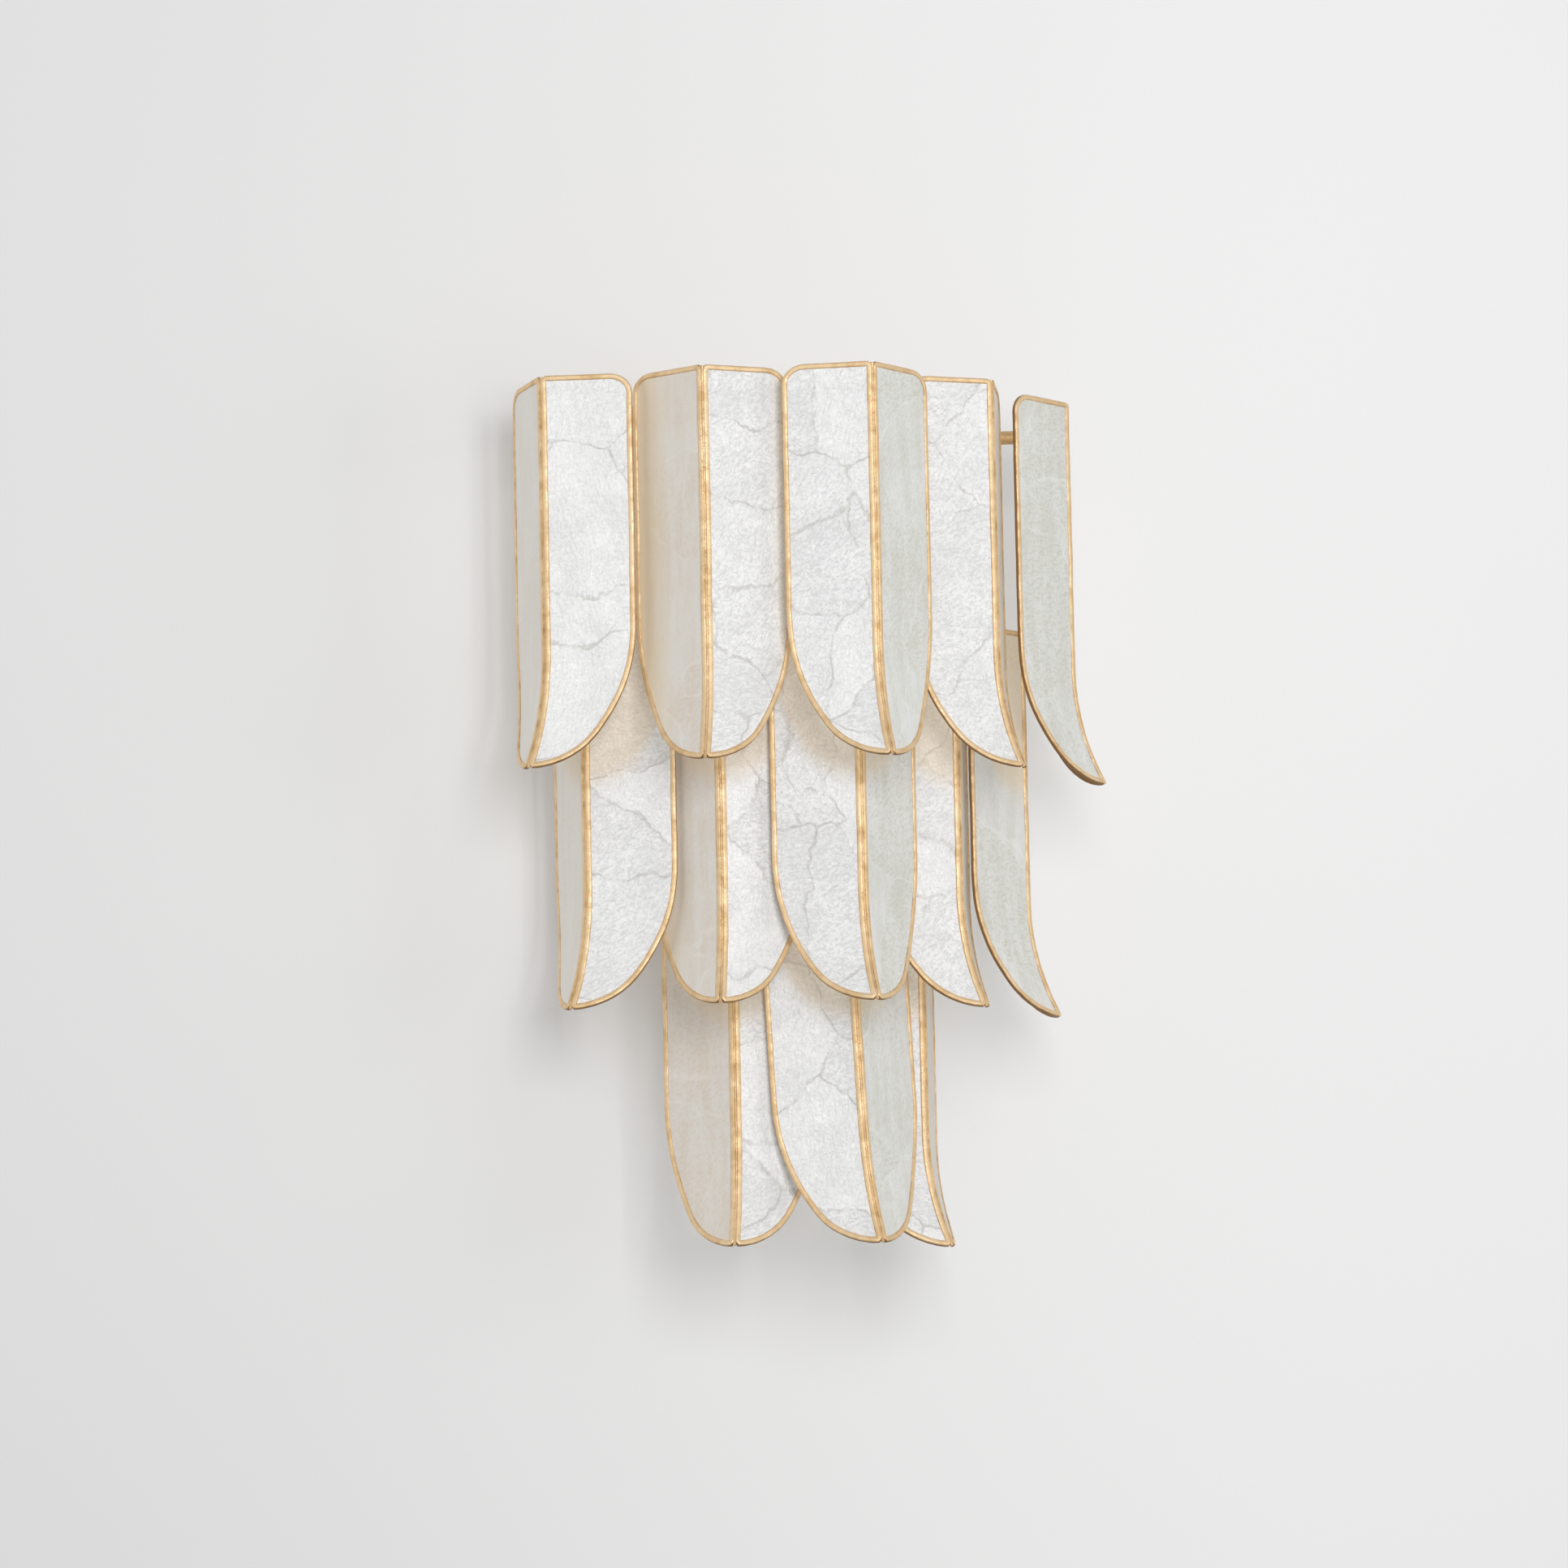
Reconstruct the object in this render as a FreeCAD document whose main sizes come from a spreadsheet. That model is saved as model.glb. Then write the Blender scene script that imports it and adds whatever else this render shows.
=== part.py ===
"""Shell wall sconce: three tiers of folded shell petals in gilt frames, on flat hoops and a wall pan.

Millimetres, +Z up. The origin is the middle of the crossbar, where its back lies on the wall. The wall is
the plane Y = 0 and the front of the sconce faces -Y. The middle tier's hoop and arms are level with Z = 0.

Each petal is two thin shells that meet at a ridge. Seen from above they make a V, and below a certain
height both curl outwards, so the ridge ends in a tip. A gilt frame runs round each shell and up the ridge.
A round arm behind the ridge joins the frame to the hoop of its tier.
"""
import FreeCAD, Part
import math
import os
import re
from FreeCAD import Placement, Rotation, Vector

import Sketcher

SIZES = (
    # One petal, with its ridge at X = 0 and its top at Z = 0.
    ("petal_length", 232.0, "ridge of a petal, from top to tip"),
    ("shell_width", 54.0, "half of a petal, measured flat along the shell"),
    ("fold_angle", 32.0, "turn of each half back from the petal's front, degrees"),
    ("corner_radius", 12.0, "outer top corners"),
    ("tip_radius", 33.0, "rounding below the ridge, seen from the front"),
    ("curve_height", 88.0, "height over which the sides draw in to the tip"),
    ("flare_height", 70.0, "height over which the bottom curls outwards"),
    ("flare_reach", 17.5, "how far the tip stands out"),
    ("shell_thickness", 1.6, "laminated shell"),
    ("frame_thickness", 3.2, "gilt frame, through the shell"),
    ("bead_width", 2.6, "gilt frame round a shell, seen from the front"),
    ("ridge_width", 6.0, "double strip of the ridge, seen from the front"),
    ("glue_gap", 0.1, "glue line between a shell and its frame"),
    ("arm_diameter", 8.0, "round arm behind each ridge"),
    ("arm_drop", 20.0, "arm's centre below the top of its petal"),
    # Layout of the three tiers round the vertical line where the centre plane meets the wall.
    ("tier_pitch", 138.0, "height between tiers"),
    ("upper_radius", 192.0, "outer ridges of the upper tier"),
    ("middle_radius", 162.0, "outer ridges of the middle tier"),
    ("lower_radius", 138.0, "outer ridges of the lower tier"),
    ("upper_spread", 1.89, "ridge to ridge round the tier, in shell widths"),
    ("middle_spread", 1.57, "ridge to ridge round the tier, in shell widths"),
    ("lower_spread", 1.315, "ridge to ridge round the tier, in shell widths"),
    ("upper_clearance", 6.3, "outer petal's edge in front of its inner neighbour"),
    ("middle_clearance", 1.3, "outer petal's edge in front of its inner neighbour"),
    ("lower_clearance", 0.9, "outer petal's edge in front of its inner neighbour"),
    ("lower_lean", 2.8, "lean of the lower tier's middle petal about its arm, degrees"),
    # Hoops of flat bar.
    ("hoop_inset", 52.0, "from a tier's outer ridges in to its hoop"),
    ("bar_height", 12.0, "flat bar, upright"),
    ("bar_thickness", 3.0, "flat bar"),
    ("hoop_corner", 14.0, "bend where the hoop turns along the pan"),
    # Wall pan, crossbar and the screws that hold them.
    ("pan_width", 114.0, "wall pan"),
    ("pan_depth", 20.0, "wall pan, from the wall to its front"),
    ("pan_wall", 1.5, "wall pan's sheet"),
    ("pan_margin", 10.0, "pan beyond the upper and lower hoops"),
    ("pan_corner", 8.0, "wall pan's corners"),
    ("strap_width", 22.0, "crossbar"),
    ("strap_sheet", 2.0, "crossbar"),
    ("strap_rise", 4.0, "crossbar's ends stand this far off the wall"),
    ("strap_flat", 104.0, "crossbar's part that lies on the wall"),
    ("strap_joggle", 5.0, "height of the step to a raised end"),
    ("strap_end", 16.0, "length of a raised end"),
    ("slot_spacing", 80.0, "between the box screw slots"),
    ("slot_length", 20.0, "box screw slot, end to end"),
    ("slot_width", 5.0, "box screw slot"),
    ("screw_diameter", 4.0, "machine screws"),
    ("screw_play", 0.3, "clearance round a machine screw"),
    ("head_diameter", 8.0, "machine screw heads"),
    ("head_height", 2.6, "machine screw heads"),
    ("nut_width", 10.0, "flange of a cap nut"),
    ("nut_flange", 4.0, "flange of a cap nut"),
    ("nut_cap", 7.0, "cap of a cap nut"),
    ("nut_height", 9.0, "cap nuts"),
    ("seat_gap", 0.1, "between a screw, nut or block and its seat"),
    # Lamps.
    ("lamp_offset", 24.0, "each lamp from the centre line"),
    ("lamp_reach", 38.0, "each lamp in front of the pan"),
    ("lamp_drop", 52.0, "lamp brackets below the middle hoop"),
    ("bracket_width", 18.0, "lamp bracket"),
    ("bracket_sheet", 2.0, "lamp bracket"),
    ("bracket_leg", 24.0, "lamp bracket's leg down the pan"),
    ("bracket_nose", 13.0, "lamp bracket beyond the lamp's centre"),
    ("holder_diameter", 22.0, "lampholder"),
    ("holder_height", 42.0, "lampholder"),
    ("cap_diameter", 12.0, "screw cap of a lamp"),
    ("cap_depth", 16.0, "screw cap, inside its holder"),
    ("cap_play", 0.3, "clearance round a screw cap"),
    ("cap_collar", 6.0, "screw cap, above its holder"),
    ("bulb_diameter", 26.0, "tubular lamp's glass"),
    ("bulb_height", 76.0, "tubular lamp's glass"),
    ("lead_diameter", 3.0, "sheathed lead of a lampholder"),
    ("lead_height", 9.0, "lead above the lamp bracket"),
    ("lead_play", 0.2, "clearance round a lead"),
    ("grommet_diameter", 8.0, "grommet in the pan"),
    ("grommet_flange", 11.0, "grommet's flange"),
    ("grommet_lip", 1.5, "grommet's flange"),
    ("block_width", 66.0, "terminal block"),
    ("block_height", 16.0, "terminal block"),
    ("block_depth", 10.0, "terminal block"),
)

# Petals of each tier from left to right, as steps round the tier from its middle petal.
TIERS = {"upper": (-2, -1, 0, 1, 2), "middle": (-2, -1, 0, 1, 2), "lower": (-1, 0, 1)}

DOC = FreeCAD.newDocument("shell_wall_sconce")


def make_sheet():
    """Fill the spreadsheet that every size is read from."""
    sheet = DOC.addObject("Spreadsheet::Sheet", "Sizes")
    for row, (alias, value, note) in enumerate(SIZES, start=1):
        sheet.set("A%d" % row, note)
        sheet.set("B%d" % row, str(value))
        sheet.setAlias("B%d" % row, alias)
    DOC.recompute()
    return sheet


SHEET = make_sheet()


def formula(text):
    """Turn a formula in plain size names into one that names the sheet's cells."""
    return re.sub(r"\b([a-z]+_[a-z_]+)\b", r"Sizes.\1", str(text))


def number(text):
    """Value of a formula in size names."""
    return float(SHEET.evalExpression(formula(text)))


# Formulas that more than one piece uses.
HALF_SPAN = "shell_width*cos(fold_angle)"
SIDE_END = "petal_length - curve_height"
FLARE_START = "petal_length - flare_height"
FLARE_RUN = "flare_reach*cos(fold_angle)"
FLARE_RADIUS = "(flare_height^2 + (%s)^2)/(2*%s)" % (FLARE_RUN, FLARE_RUN)
OVERRUN = "2*frame_thickness"
PAN_HEIGHT = "2*(tier_pitch + bar_height/2 + pan_margin)"
SCREW_SPACING = "strap_flat + 2*strap_joggle + strap_end"
STRAP_END_Z = "strap_flat/2 + strap_joggle"
LAMP_BASE_Z = "-lamp_drop"
LAMP_Y = "-pan_depth - lamp_reach"
ARM_Z = {"upper": "tier_pitch", "middle": "0", "lower": "-tier_pitch"}


def spacing(tier):
    """Formula of the angle between neighbouring petals, from how wide they are."""
    return "%s_spread*shell_width/%s_radius*180/%.6f" % (tier, tier, math.pi)


def inner_step(tier):
    """Formula of how much further in every second petal stands.

    The edge of an outer petal then clears the face of the inner petal that it laps.
    """
    edge = "%s_radius*cos(%s - fold_angle)" % (tier, spacing(tier))
    lap = "shell_width*sin(2*fold_angle - %s)" % spacing(tier)
    return "%s_radius - (%s - %s - frame_thickness - %s_clearance)/cos(fold_angle)" % (tier, edge, lap, tier)


# ---------------------------------------------------------------- sketches

def new_body(label):
    body = DOC.addObject("PartDesign::Body", label)
    body.Label = label
    return body


def new_sketch(body, role, name, offset=None):
    """Add a sketch on one of the body's own origin planes."""
    sketch = body.newObject("Sketcher::SketchObject", name)
    plane = next(item for item in body.Origin.OriginFeatures if item.Role == role)
    sketch.AttachmentSupport = (plane, [""])
    sketch.MapMode = "FlatFace"
    if offset is not None:
        sketch.AttachmentOffset = offset
    return sketch


def bind_constraint(sketch, constraint, text):
    index = sketch.addConstraint(constraint)
    sketch.setExpression("Constraints[%d]" % index, formula(text))


def locate(sketch, item, end, x=None, y=None):
    """Tie a point of the sketch to the sketch's axes by formulas."""
    for kind, text, axis in (("DistanceX", x, -2), ("DistanceY", y, -1)):
        if text is None:
            continue
        distance = number(text)
        if abs(distance) < 1e-9:
            sketch.addConstraint(Sketcher.Constraint("PointOnObject", item, end, axis))
        elif distance > 0:
            bind_constraint(sketch, Sketcher.Constraint(kind, -1, 1, item, end, distance), text)
        else:
            bind_constraint(sketch, Sketcher.Constraint(kind, item, end, -1, 1, -distance), "-(%s)" % text)


def set_radius(sketch, item, text):
    bind_constraint(sketch, Sketcher.Constraint("Radius", item, number(text)), text)


def add_line(sketch, start, end):
    return sketch.addGeometry(Part.LineSegment(Vector(*start, 0), Vector(*end, 0)))


def add_arc(sketch, centre, radius, first, last):
    """Add an arc that runs anticlockwise between two angles in degrees."""
    circle = Part.Circle(Vector(*centre, 0), Vector(0, 0, 1), radius)
    return sketch.addGeometry(Part.ArcOfCircle(circle, math.radians(first), math.radians(last)))


def add_circle(sketch, x, y, diameter):
    """Add a whole circle, tied to the axes and to its diameter."""
    circle = Part.Circle(Vector(number(x), number(y), 0), Vector(0, 0, 1), number(diameter)/2)
    item = sketch.addGeometry(circle)
    locate(sketch, item, 3, x, y)
    set_radius(sketch, item, "(%s)/2" % diameter)


def join(sketch, kind, *joints):
    """Join ends of lines and arcs, each joint being (item, end, item, end)."""
    for joint in joints:
        sketch.addConstraint(Sketcher.Constraint(kind, *joint))


def draw_polygon(sketch, corners):
    """Draw a closed polygon with every corner tied to the axes by formulas."""
    points = [(number(x), number(y)) for x, y in corners]
    lines = [add_line(sketch, point, following) for point, following in zip(points, points[1:] + points[:1])]
    for line, following in zip(lines, lines[1:] + lines[:1]):
        sketch.addConstraint(Sketcher.Constraint("Coincident", line, 2, following, 1))
    for line, (x, y) in zip(lines, corners):
        locate(sketch, line, 1, x, y)


def draw_rectangle(sketch, left, right, bottom, top):
    draw_polygon(sketch, [(left, bottom), (right, bottom), (right, top), (left, top)])


def draw_rounded_rectangle(sketch, half_width, half_height, radius):
    """Draw a rectangle about the sketch's origin with equal rounded corners."""
    a, b, r = number(half_width), number(half_height), number(radius)
    top = add_line(sketch, (-a + r, b), (a - r, b))
    right = add_line(sketch, (a, b - r), (a, -b + r))
    bottom = add_line(sketch, (a - r, -b), (-a + r, -b))
    left = add_line(sketch, (-a, -b + r), (-a, b - r))
    arcs = [
        add_arc(sketch, (a - r, b - r), r, 0, 90),
        add_arc(sketch, (a - r, -b + r), r, 270, 360),
        add_arc(sketch, (-a + r, -b + r), r, 180, 270),
        add_arc(sketch, (-a + r, b - r), r, 90, 180),
    ]
    join(sketch, "Tangent",
         (top, 2, arcs[0], 2), (arcs[0], 1, right, 1), (right, 2, arcs[1], 2), (arcs[1], 1, bottom, 1),
         (bottom, 2, arcs[2], 2), (arcs[2], 1, left, 1), (left, 2, arcs[3], 2), (arcs[3], 1, top, 1))
    for arc in arcs[1:]:
        sketch.addConstraint(Sketcher.Constraint("Equal", arcs[0], arc))
    for line in (top, bottom):
        sketch.addConstraint(Sketcher.Constraint("Horizontal", line))
    for line in (left, right):
        sketch.addConstraint(Sketcher.Constraint("Vertical", line))
    set_radius(sketch, arcs[0], radius)
    locate(sketch, right, 1, x=half_width)
    locate(sketch, left, 1, x="-(%s)" % half_width)
    locate(sketch, top, 1, y=half_height)
    locate(sketch, bottom, 1, y="-(%s)" % half_height)


# ---------------------------------------------------------------- features

def pad(body, sketch, length, side="One side", reverse=False):
    feature = body.newObject("PartDesign::Pad", "Pad")
    feature.Profile = sketch
    feature.SideType = side
    feature.Reversed = reverse
    feature.setExpression("Length", formula(length))
    return feature


def pocket_through(body, sketch):
    """Cut a sketch's area out of the body, both ways from the sketch."""
    feature = body.newObject("PartDesign::Pocket", "Pocket")
    feature.Profile = sketch
    feature.SideType = "Symmetric"
    feature.Type = "ThroughAll"
    return feature


def revolve(body, sketch, axis):
    feature = body.newObject("PartDesign::Revolution", "Revolution")
    feature.Profile = sketch
    feature.ReferenceAxis = (sketch, [axis])
    feature.Angle = 360
    return feature


def repeat_along(body, feature, role, length):
    """Make a second, separate solid at a distance along one of the body's axes."""
    body.AllowCompound = True
    DOC.recompute()
    pattern = body.newObject("PartDesign::LinearPattern", "Pair")
    pattern.Originals = [feature]
    axis = next(item for item in body.Origin.OriginFeatures if item.Role == role)
    pattern.Direction = (axis, [""])
    pattern.Occurrences = 2
    pattern.setExpression("Length", formula(length))
    body.Tip = pattern
    return pattern


def turned_along_y(label, corners):
    """Body turned about the Y axis from corners (Y, radius)."""
    body = new_body(label)
    sketch = new_sketch(body, "YZ_Plane", "profile")
    draw_polygon(sketch, corners)
    return body, revolve(body, sketch, "H_Axis")


def turned_along_z(label, corners):
    """Body turned about the Z axis from corners (radius, Z)."""
    body = new_body(label)
    sketch = new_sketch(body, "XZ_Plane", "profile")
    draw_polygon(sketch, corners)
    return body, revolve(body, sketch, "V_Axis")


def put(item, x="0", y="0", z="0"):
    """Bind the place of a piece to formulas."""
    for axis, text in (("x", x), ("y", y), ("z", z)):
        item.setExpression("Placement.Base.%s" % axis, formula(text))


# ---------------------------------------------------------------- one petal

def side_radius(half_span, tip_radius, height):
    """Radius of the arc that is tangent to a petal's upright side and to its tip arc."""
    rise = height - tip_radius
    return (half_span**2 + rise**2 - tip_radius**2)/(2*(half_span - tip_radius))


def draw_petal_outline(sketch):
    """Draw a petal's outer outline, seen from the front: rounded top corners and a rounded tip."""
    span, length, side_end = number(HALF_SPAN), number("petal_length"), number(SIDE_END)
    corner, tip = number("corner_radius"), number("tip_radius")
    side = side_radius(span, tip, number("curve_height"))
    turn = math.degrees(math.atan2(length - tip - side_end, side - span))
    top = add_line(sketch, (-span + corner, 0), (span - corner, 0))
    right_corner = add_arc(sketch, (span - corner, -corner), corner, 0, 90)
    right_side = add_line(sketch, (span, -corner), (span, -side_end))
    right_arc = add_arc(sketch, (span - side, -side_end), side, -turn, 0)
    tip_arc = add_arc(sketch, (0, -length + tip), tip, 180 + turn, 360 - turn)
    left_arc = add_arc(sketch, (side - span, -side_end), side, 180, 180 + turn)
    left_side = add_line(sketch, (-span, -side_end), (-span, -corner))
    left_corner = add_arc(sketch, (-span + corner, -corner), corner, 90, 180)
    join(sketch, "Tangent",
         (top, 2, right_corner, 2), (right_corner, 1, right_side, 1), (right_side, 2, right_arc, 2),
         (right_arc, 1, tip_arc, 2), (tip_arc, 1, left_arc, 2), (left_arc, 1, left_side, 1),
         (left_side, 2, left_corner, 2), (left_corner, 1, top, 1))
    sketch.addConstraint(Sketcher.Constraint("PointOnObject", top, 1, -1))
    sketch.addConstraint(Sketcher.Constraint("Vertical", right_side))
    sketch.addConstraint(Sketcher.Constraint("Equal", right_corner, left_corner))
    sketch.addConstraint(Sketcher.Constraint("Symmetric", right_side, 2, left_side, 1, -2))
    set_radius(sketch, right_corner, "corner_radius")
    set_radius(sketch, tip_arc, "tip_radius")
    locate(sketch, right_side, 2, HALF_SPAN, "-(%s)" % SIDE_END)
    locate(sketch, tip_arc, 3, "0", "tip_radius - petal_length")


def draw_window(sketch, hand, gap):
    """Draw the opening of a frame on one side of the ridge, less a gap all round.

    hand is 1 for the right half and -1 for the left half.
    """
    inset = "bead_width + %s" % gap
    edge = "ridge_width/2 + %s" % gap
    outer = "%s - (%s)" % (HALF_SPAN, inset)
    ridge_x, side_x, drop = number(edge), number(outer), number(inset)
    length, side_end = number("petal_length"), number(SIDE_END)
    corner = number("corner_radius") - drop
    tip = number("tip_radius")
    side = side_radius(number(HALF_SPAN), tip, number("curve_height")) - drop
    turn = math.degrees(math.atan2(length - tip - side_end, side + drop - number(HALF_SPAN)))
    tip_start = math.degrees(math.acos(ridge_x/(tip - drop)))
    tip_end_z = -length + tip - math.sqrt((tip - drop)**2 - ridge_x**2)

    def arc(x, z, radius, first, last):
        if hand > 0:
            return add_arc(sketch, (x, z), radius, first, last)
        return add_arc(sketch, (-x, z), radius, 180 - last, 180 - first)

    first, last = (1, 2) if hand > 0 else (2, 1)
    top = add_line(sketch, (hand*ridge_x, -drop), (hand*(side_x - corner), -drop))
    corner_arc = arc(side_x - corner, -drop - corner, corner, 0, 90)
    side_line = add_line(sketch, (hand*side_x, -drop - corner), (hand*side_x, -side_end))
    side_arc = arc(side_x - side, -side_end, side, -turn, 0)
    tip_arc = arc(0, -length + tip, tip - drop, -tip_start, -turn)
    ridge = add_line(sketch, (hand*ridge_x, tip_end_z), (hand*ridge_x, -drop))
    join(sketch, "Tangent", (top, 2, corner_arc, last), (corner_arc, first, side_line, 1),
         (side_line, 2, side_arc, last), (side_arc, first, tip_arc, last))
    join(sketch, "Coincident", (tip_arc, first, ridge, 1), (ridge, 2, top, 1))
    sketch.addConstraint(Sketcher.Constraint("Horizontal", top))
    sketch.addConstraint(Sketcher.Constraint("Vertical", side_line))
    sketch.addConstraint(Sketcher.Constraint("Vertical", ridge))
    set_radius(sketch, corner_arc, "corner_radius - (%s)" % inset)
    set_radius(sketch, tip_arc, "tip_radius - (%s)" % inset)
    sign = "" if hand > 0 else "-"
    locate(sketch, top, 1, "%s(%s)" % (sign, edge), "-(%s)" % inset)
    locate(sketch, side_line, 2, "%s(%s)" % (sign, outer), "-(%s)" % SIDE_END)
    locate(sketch, tip_arc, 3, "0", "tip_radius - petal_length")


def add_folded_sheet(body, hand, thickness):
    """Pad one half of a petal as a curled sheet, wider and longer than the finished half.

    The section stands square to the shell's width: upright, then an arc that curls outwards. Padding it
    along the width gives a sheet that bends one way only, as flat shell does.
    """
    turn = Placement(Vector(), Rotation(Vector(0, 1, 0), hand*number("fold_angle")))
    sketch = new_sketch(body, "YZ_Plane", "section", turn)
    sketch.setExpression("AttachmentOffset.Rotation.Angle", formula("%d*fold_angle" % hand))
    half = number(thickness)/2
    start, radius = number(FLARE_START), number(FLARE_RADIUS)
    top_z, end_z = number(OVERRUN), -number("petal_length") - number(OVERRUN)

    def end_angle(arc_radius):
        return math.degrees(math.asin((-start - end_z)/arc_radius))

    front_turn, back_turn = end_angle(radius - half), end_angle(radius + half)
    front_end = (-radius + (radius - half)*math.cos(math.radians(front_turn)), end_z)
    back_end = (-radius + (radius + half)*math.cos(math.radians(back_turn)), end_z)
    front = add_line(sketch, (-half, top_z), (-half, -start))
    front_arc = add_arc(sketch, (-radius, -start), radius - half, -front_turn, 0)
    foot = add_line(sketch, front_end, back_end)
    back_arc = add_arc(sketch, (-radius, -start), radius + half, -back_turn, 0)
    back = add_line(sketch, (half, -start), (half, top_z))
    top = add_line(sketch, (half, top_z), (-half, top_z))
    join(sketch, "Tangent", (front, 2, front_arc, 2), (back_arc, 2, back, 1))
    join(sketch, "Coincident", (front_arc, 1, foot, 1), (foot, 2, back_arc, 1), (back, 2, top, 1),
         (top, 2, front, 1), (front_arc, 3, back_arc, 3))
    for line in (top, foot):
        sketch.addConstraint(Sketcher.Constraint("Horizontal", line))
    for line in (front, back):
        sketch.addConstraint(Sketcher.Constraint("Vertical", line))
    locate(sketch, front, 1, "-(%s)/2" % thickness, OVERRUN)
    locate(sketch, back, 1, "(%s)/2" % thickness, "-(%s)" % FLARE_START)
    locate(sketch, foot, 1, y="-petal_length - (%s)" % OVERRUN)
    set_radius(sketch, front_arc, "%s - (%s)/2" % (FLARE_RADIUS, thickness))
    sheet = pad(body, sketch, "shell_width + %s" % OVERRUN, "Two sides", reverse=hand < 0)
    sheet.setExpression("Length2", formula("flare_reach + %s" % OVERRUN))
    return sheet


def trim_to(body, draw):
    """Cut away everything outside an outline, seen from the front."""
    sketch = new_sketch(body, "XZ_Plane", "outline")
    draw(sketch)
    beyond = "shell_width + flare_reach + 2*(%s)" % OVERRUN
    low = "-petal_length - 2*(%s)" % OVERRUN
    draw_rectangle(sketch, "-(%s)" % beyond, beyond, low, "2*(%s)" % OVERRUN)
    return pocket_through(body, sketch)


def make_shell(hand, label):
    """One half of a petal, fitted inside its frame with a glue line all round."""
    body = new_body(label)
    add_folded_sheet(body, hand, "shell_thickness")
    trim_to(body, lambda sketch: draw_window(sketch, hand, "glue_gap"))
    return body


def make_frame(label, arm_length):
    """Gilt frame of a petal: a bead round each shell, a double strip up the ridge, and the arm behind it."""
    body = new_body(label)
    sheet = add_folded_sheet(body, 1, "frame_thickness")
    sketch = new_sketch(body, "XY_Plane", "mitre")
    beyond = "2*(shell_width + flare_reach + %s)" % OVERRUN
    draw_rectangle(sketch, "-(%s)" % beyond, "0", "-(%s)" % beyond, beyond)
    pocket_through(body, sketch)
    DOC.recompute()
    mirror = body.newObject("PartDesign::Mirrored", "Mirrored")
    mirror.TransformMode = "Whole shape"
    mirror.Originals = [sheet]
    plane = next(item for item in body.Origin.OriginFeatures if item.Role == "YZ_Plane")
    mirror.MirrorPlane = (plane, [""])
    body.Tip = mirror
    trim_to(body, draw_petal_outline)
    sketch = new_sketch(body, "XZ_Plane", "windows")
    draw_window(sketch, 1, "0")
    draw_window(sketch, -1, "0")
    pocket_through(body, sketch)
    add_arm(body, arm_length)
    return body


def add_arm(body, arm_length):
    """Add the round arm behind the ridge, notched on both sides so that it clears the shells."""
    sketch = new_sketch(body, "XZ_Plane", "arm")
    add_circle(sketch, "0", "-arm_drop", "arm_diameter")
    pad(body, sketch, arm_length, reverse=True)
    level = Placement(Vector(0, 0, -number("arm_drop")), Rotation())
    sketch = new_sketch(body, "XY_Plane", "notches", level)
    sketch.setExpression("AttachmentOffset.Base.z", formula("-arm_drop"))
    clear = "(shell_thickness/2 + glue_gap)/cos(fold_angle)"
    for sign in ("", "-"):
        near = "%sridge_width/2" % sign
        far = "%sarm_diameter" % sign
        draw_polygon(sketch, [
            (near, "-frame_thickness"),
            (far, "-frame_thickness"),
            (far, "arm_diameter*tan(fold_angle) + %s" % clear),
            (near, "ridge_width/2*tan(fold_angle) + %s" % clear)])
    cut = body.newObject("PartDesign::Pocket", "Pocket")
    cut.Profile = sketch
    cut.SideType = "Symmetric"
    cut.setExpression("Length", formula("2*arm_diameter"))


def petal_placement(tier, step):
    """Where a petal stands: outer petals and inner ones take turns round the tier."""
    angle = step*number(spacing(tier))
    radius = number("%s_radius" % tier)
    if step % 2:
        radius -= number(inner_step(tier))
    turn = Rotation(Vector(0, 0, 1), angle)
    outward = turn.multVec(Vector(0, -1, 0))
    top = Vector(outward.x*radius, outward.y*radius, number("%s + arm_drop" % ARM_Z[tier]))
    if tier != "lower" or step != 0:
        return Placement(top, turn)
    pivot = Vector(0, 0, -number("arm_drop"))
    lean = Placement(Vector(), Rotation(outward, number("lower_lean")), turn.multVec(pivot))
    return Placement(top, Rotation()).multiply(lean).multiply(Placement(Vector(), turn))


def place_copy(source, label, placement):
    """Place a copy of a shared piece as a node of its own."""
    copy = DOC.addObject("App::Link", label)
    copy.LinkedObject = source
    copy.Label = label
    copy.Placement = placement
    return copy


def make_petals():
    """All petals: each one a frame and two shells."""
    shells = {"left": make_shell(-1, "shell_pattern_left"), "right": make_shell(1, "shell_pattern_right")}
    outer_frame = make_frame("frame_pattern_outer", "hoop_inset")
    nodes = []
    for tier, steps in TIERS.items():
        inner_frame = make_frame("frame_pattern_%s_inner" % tier, "hoop_inset - (%s)" % inner_step(tier))
        for place, step in enumerate(steps, start=1):
            placement = petal_placement(tier, step)
            name = "%s_petal_%d" % (tier, place)
            nodes.append(place_copy(inner_frame if step % 2 else outer_frame, name + "_frame", placement))
            for side, shell in shells.items():
                nodes.append(place_copy(shell, "%s_shell_%s" % (name, side), placement))
    return nodes


# ---------------------------------------------------------------- hoops

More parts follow.
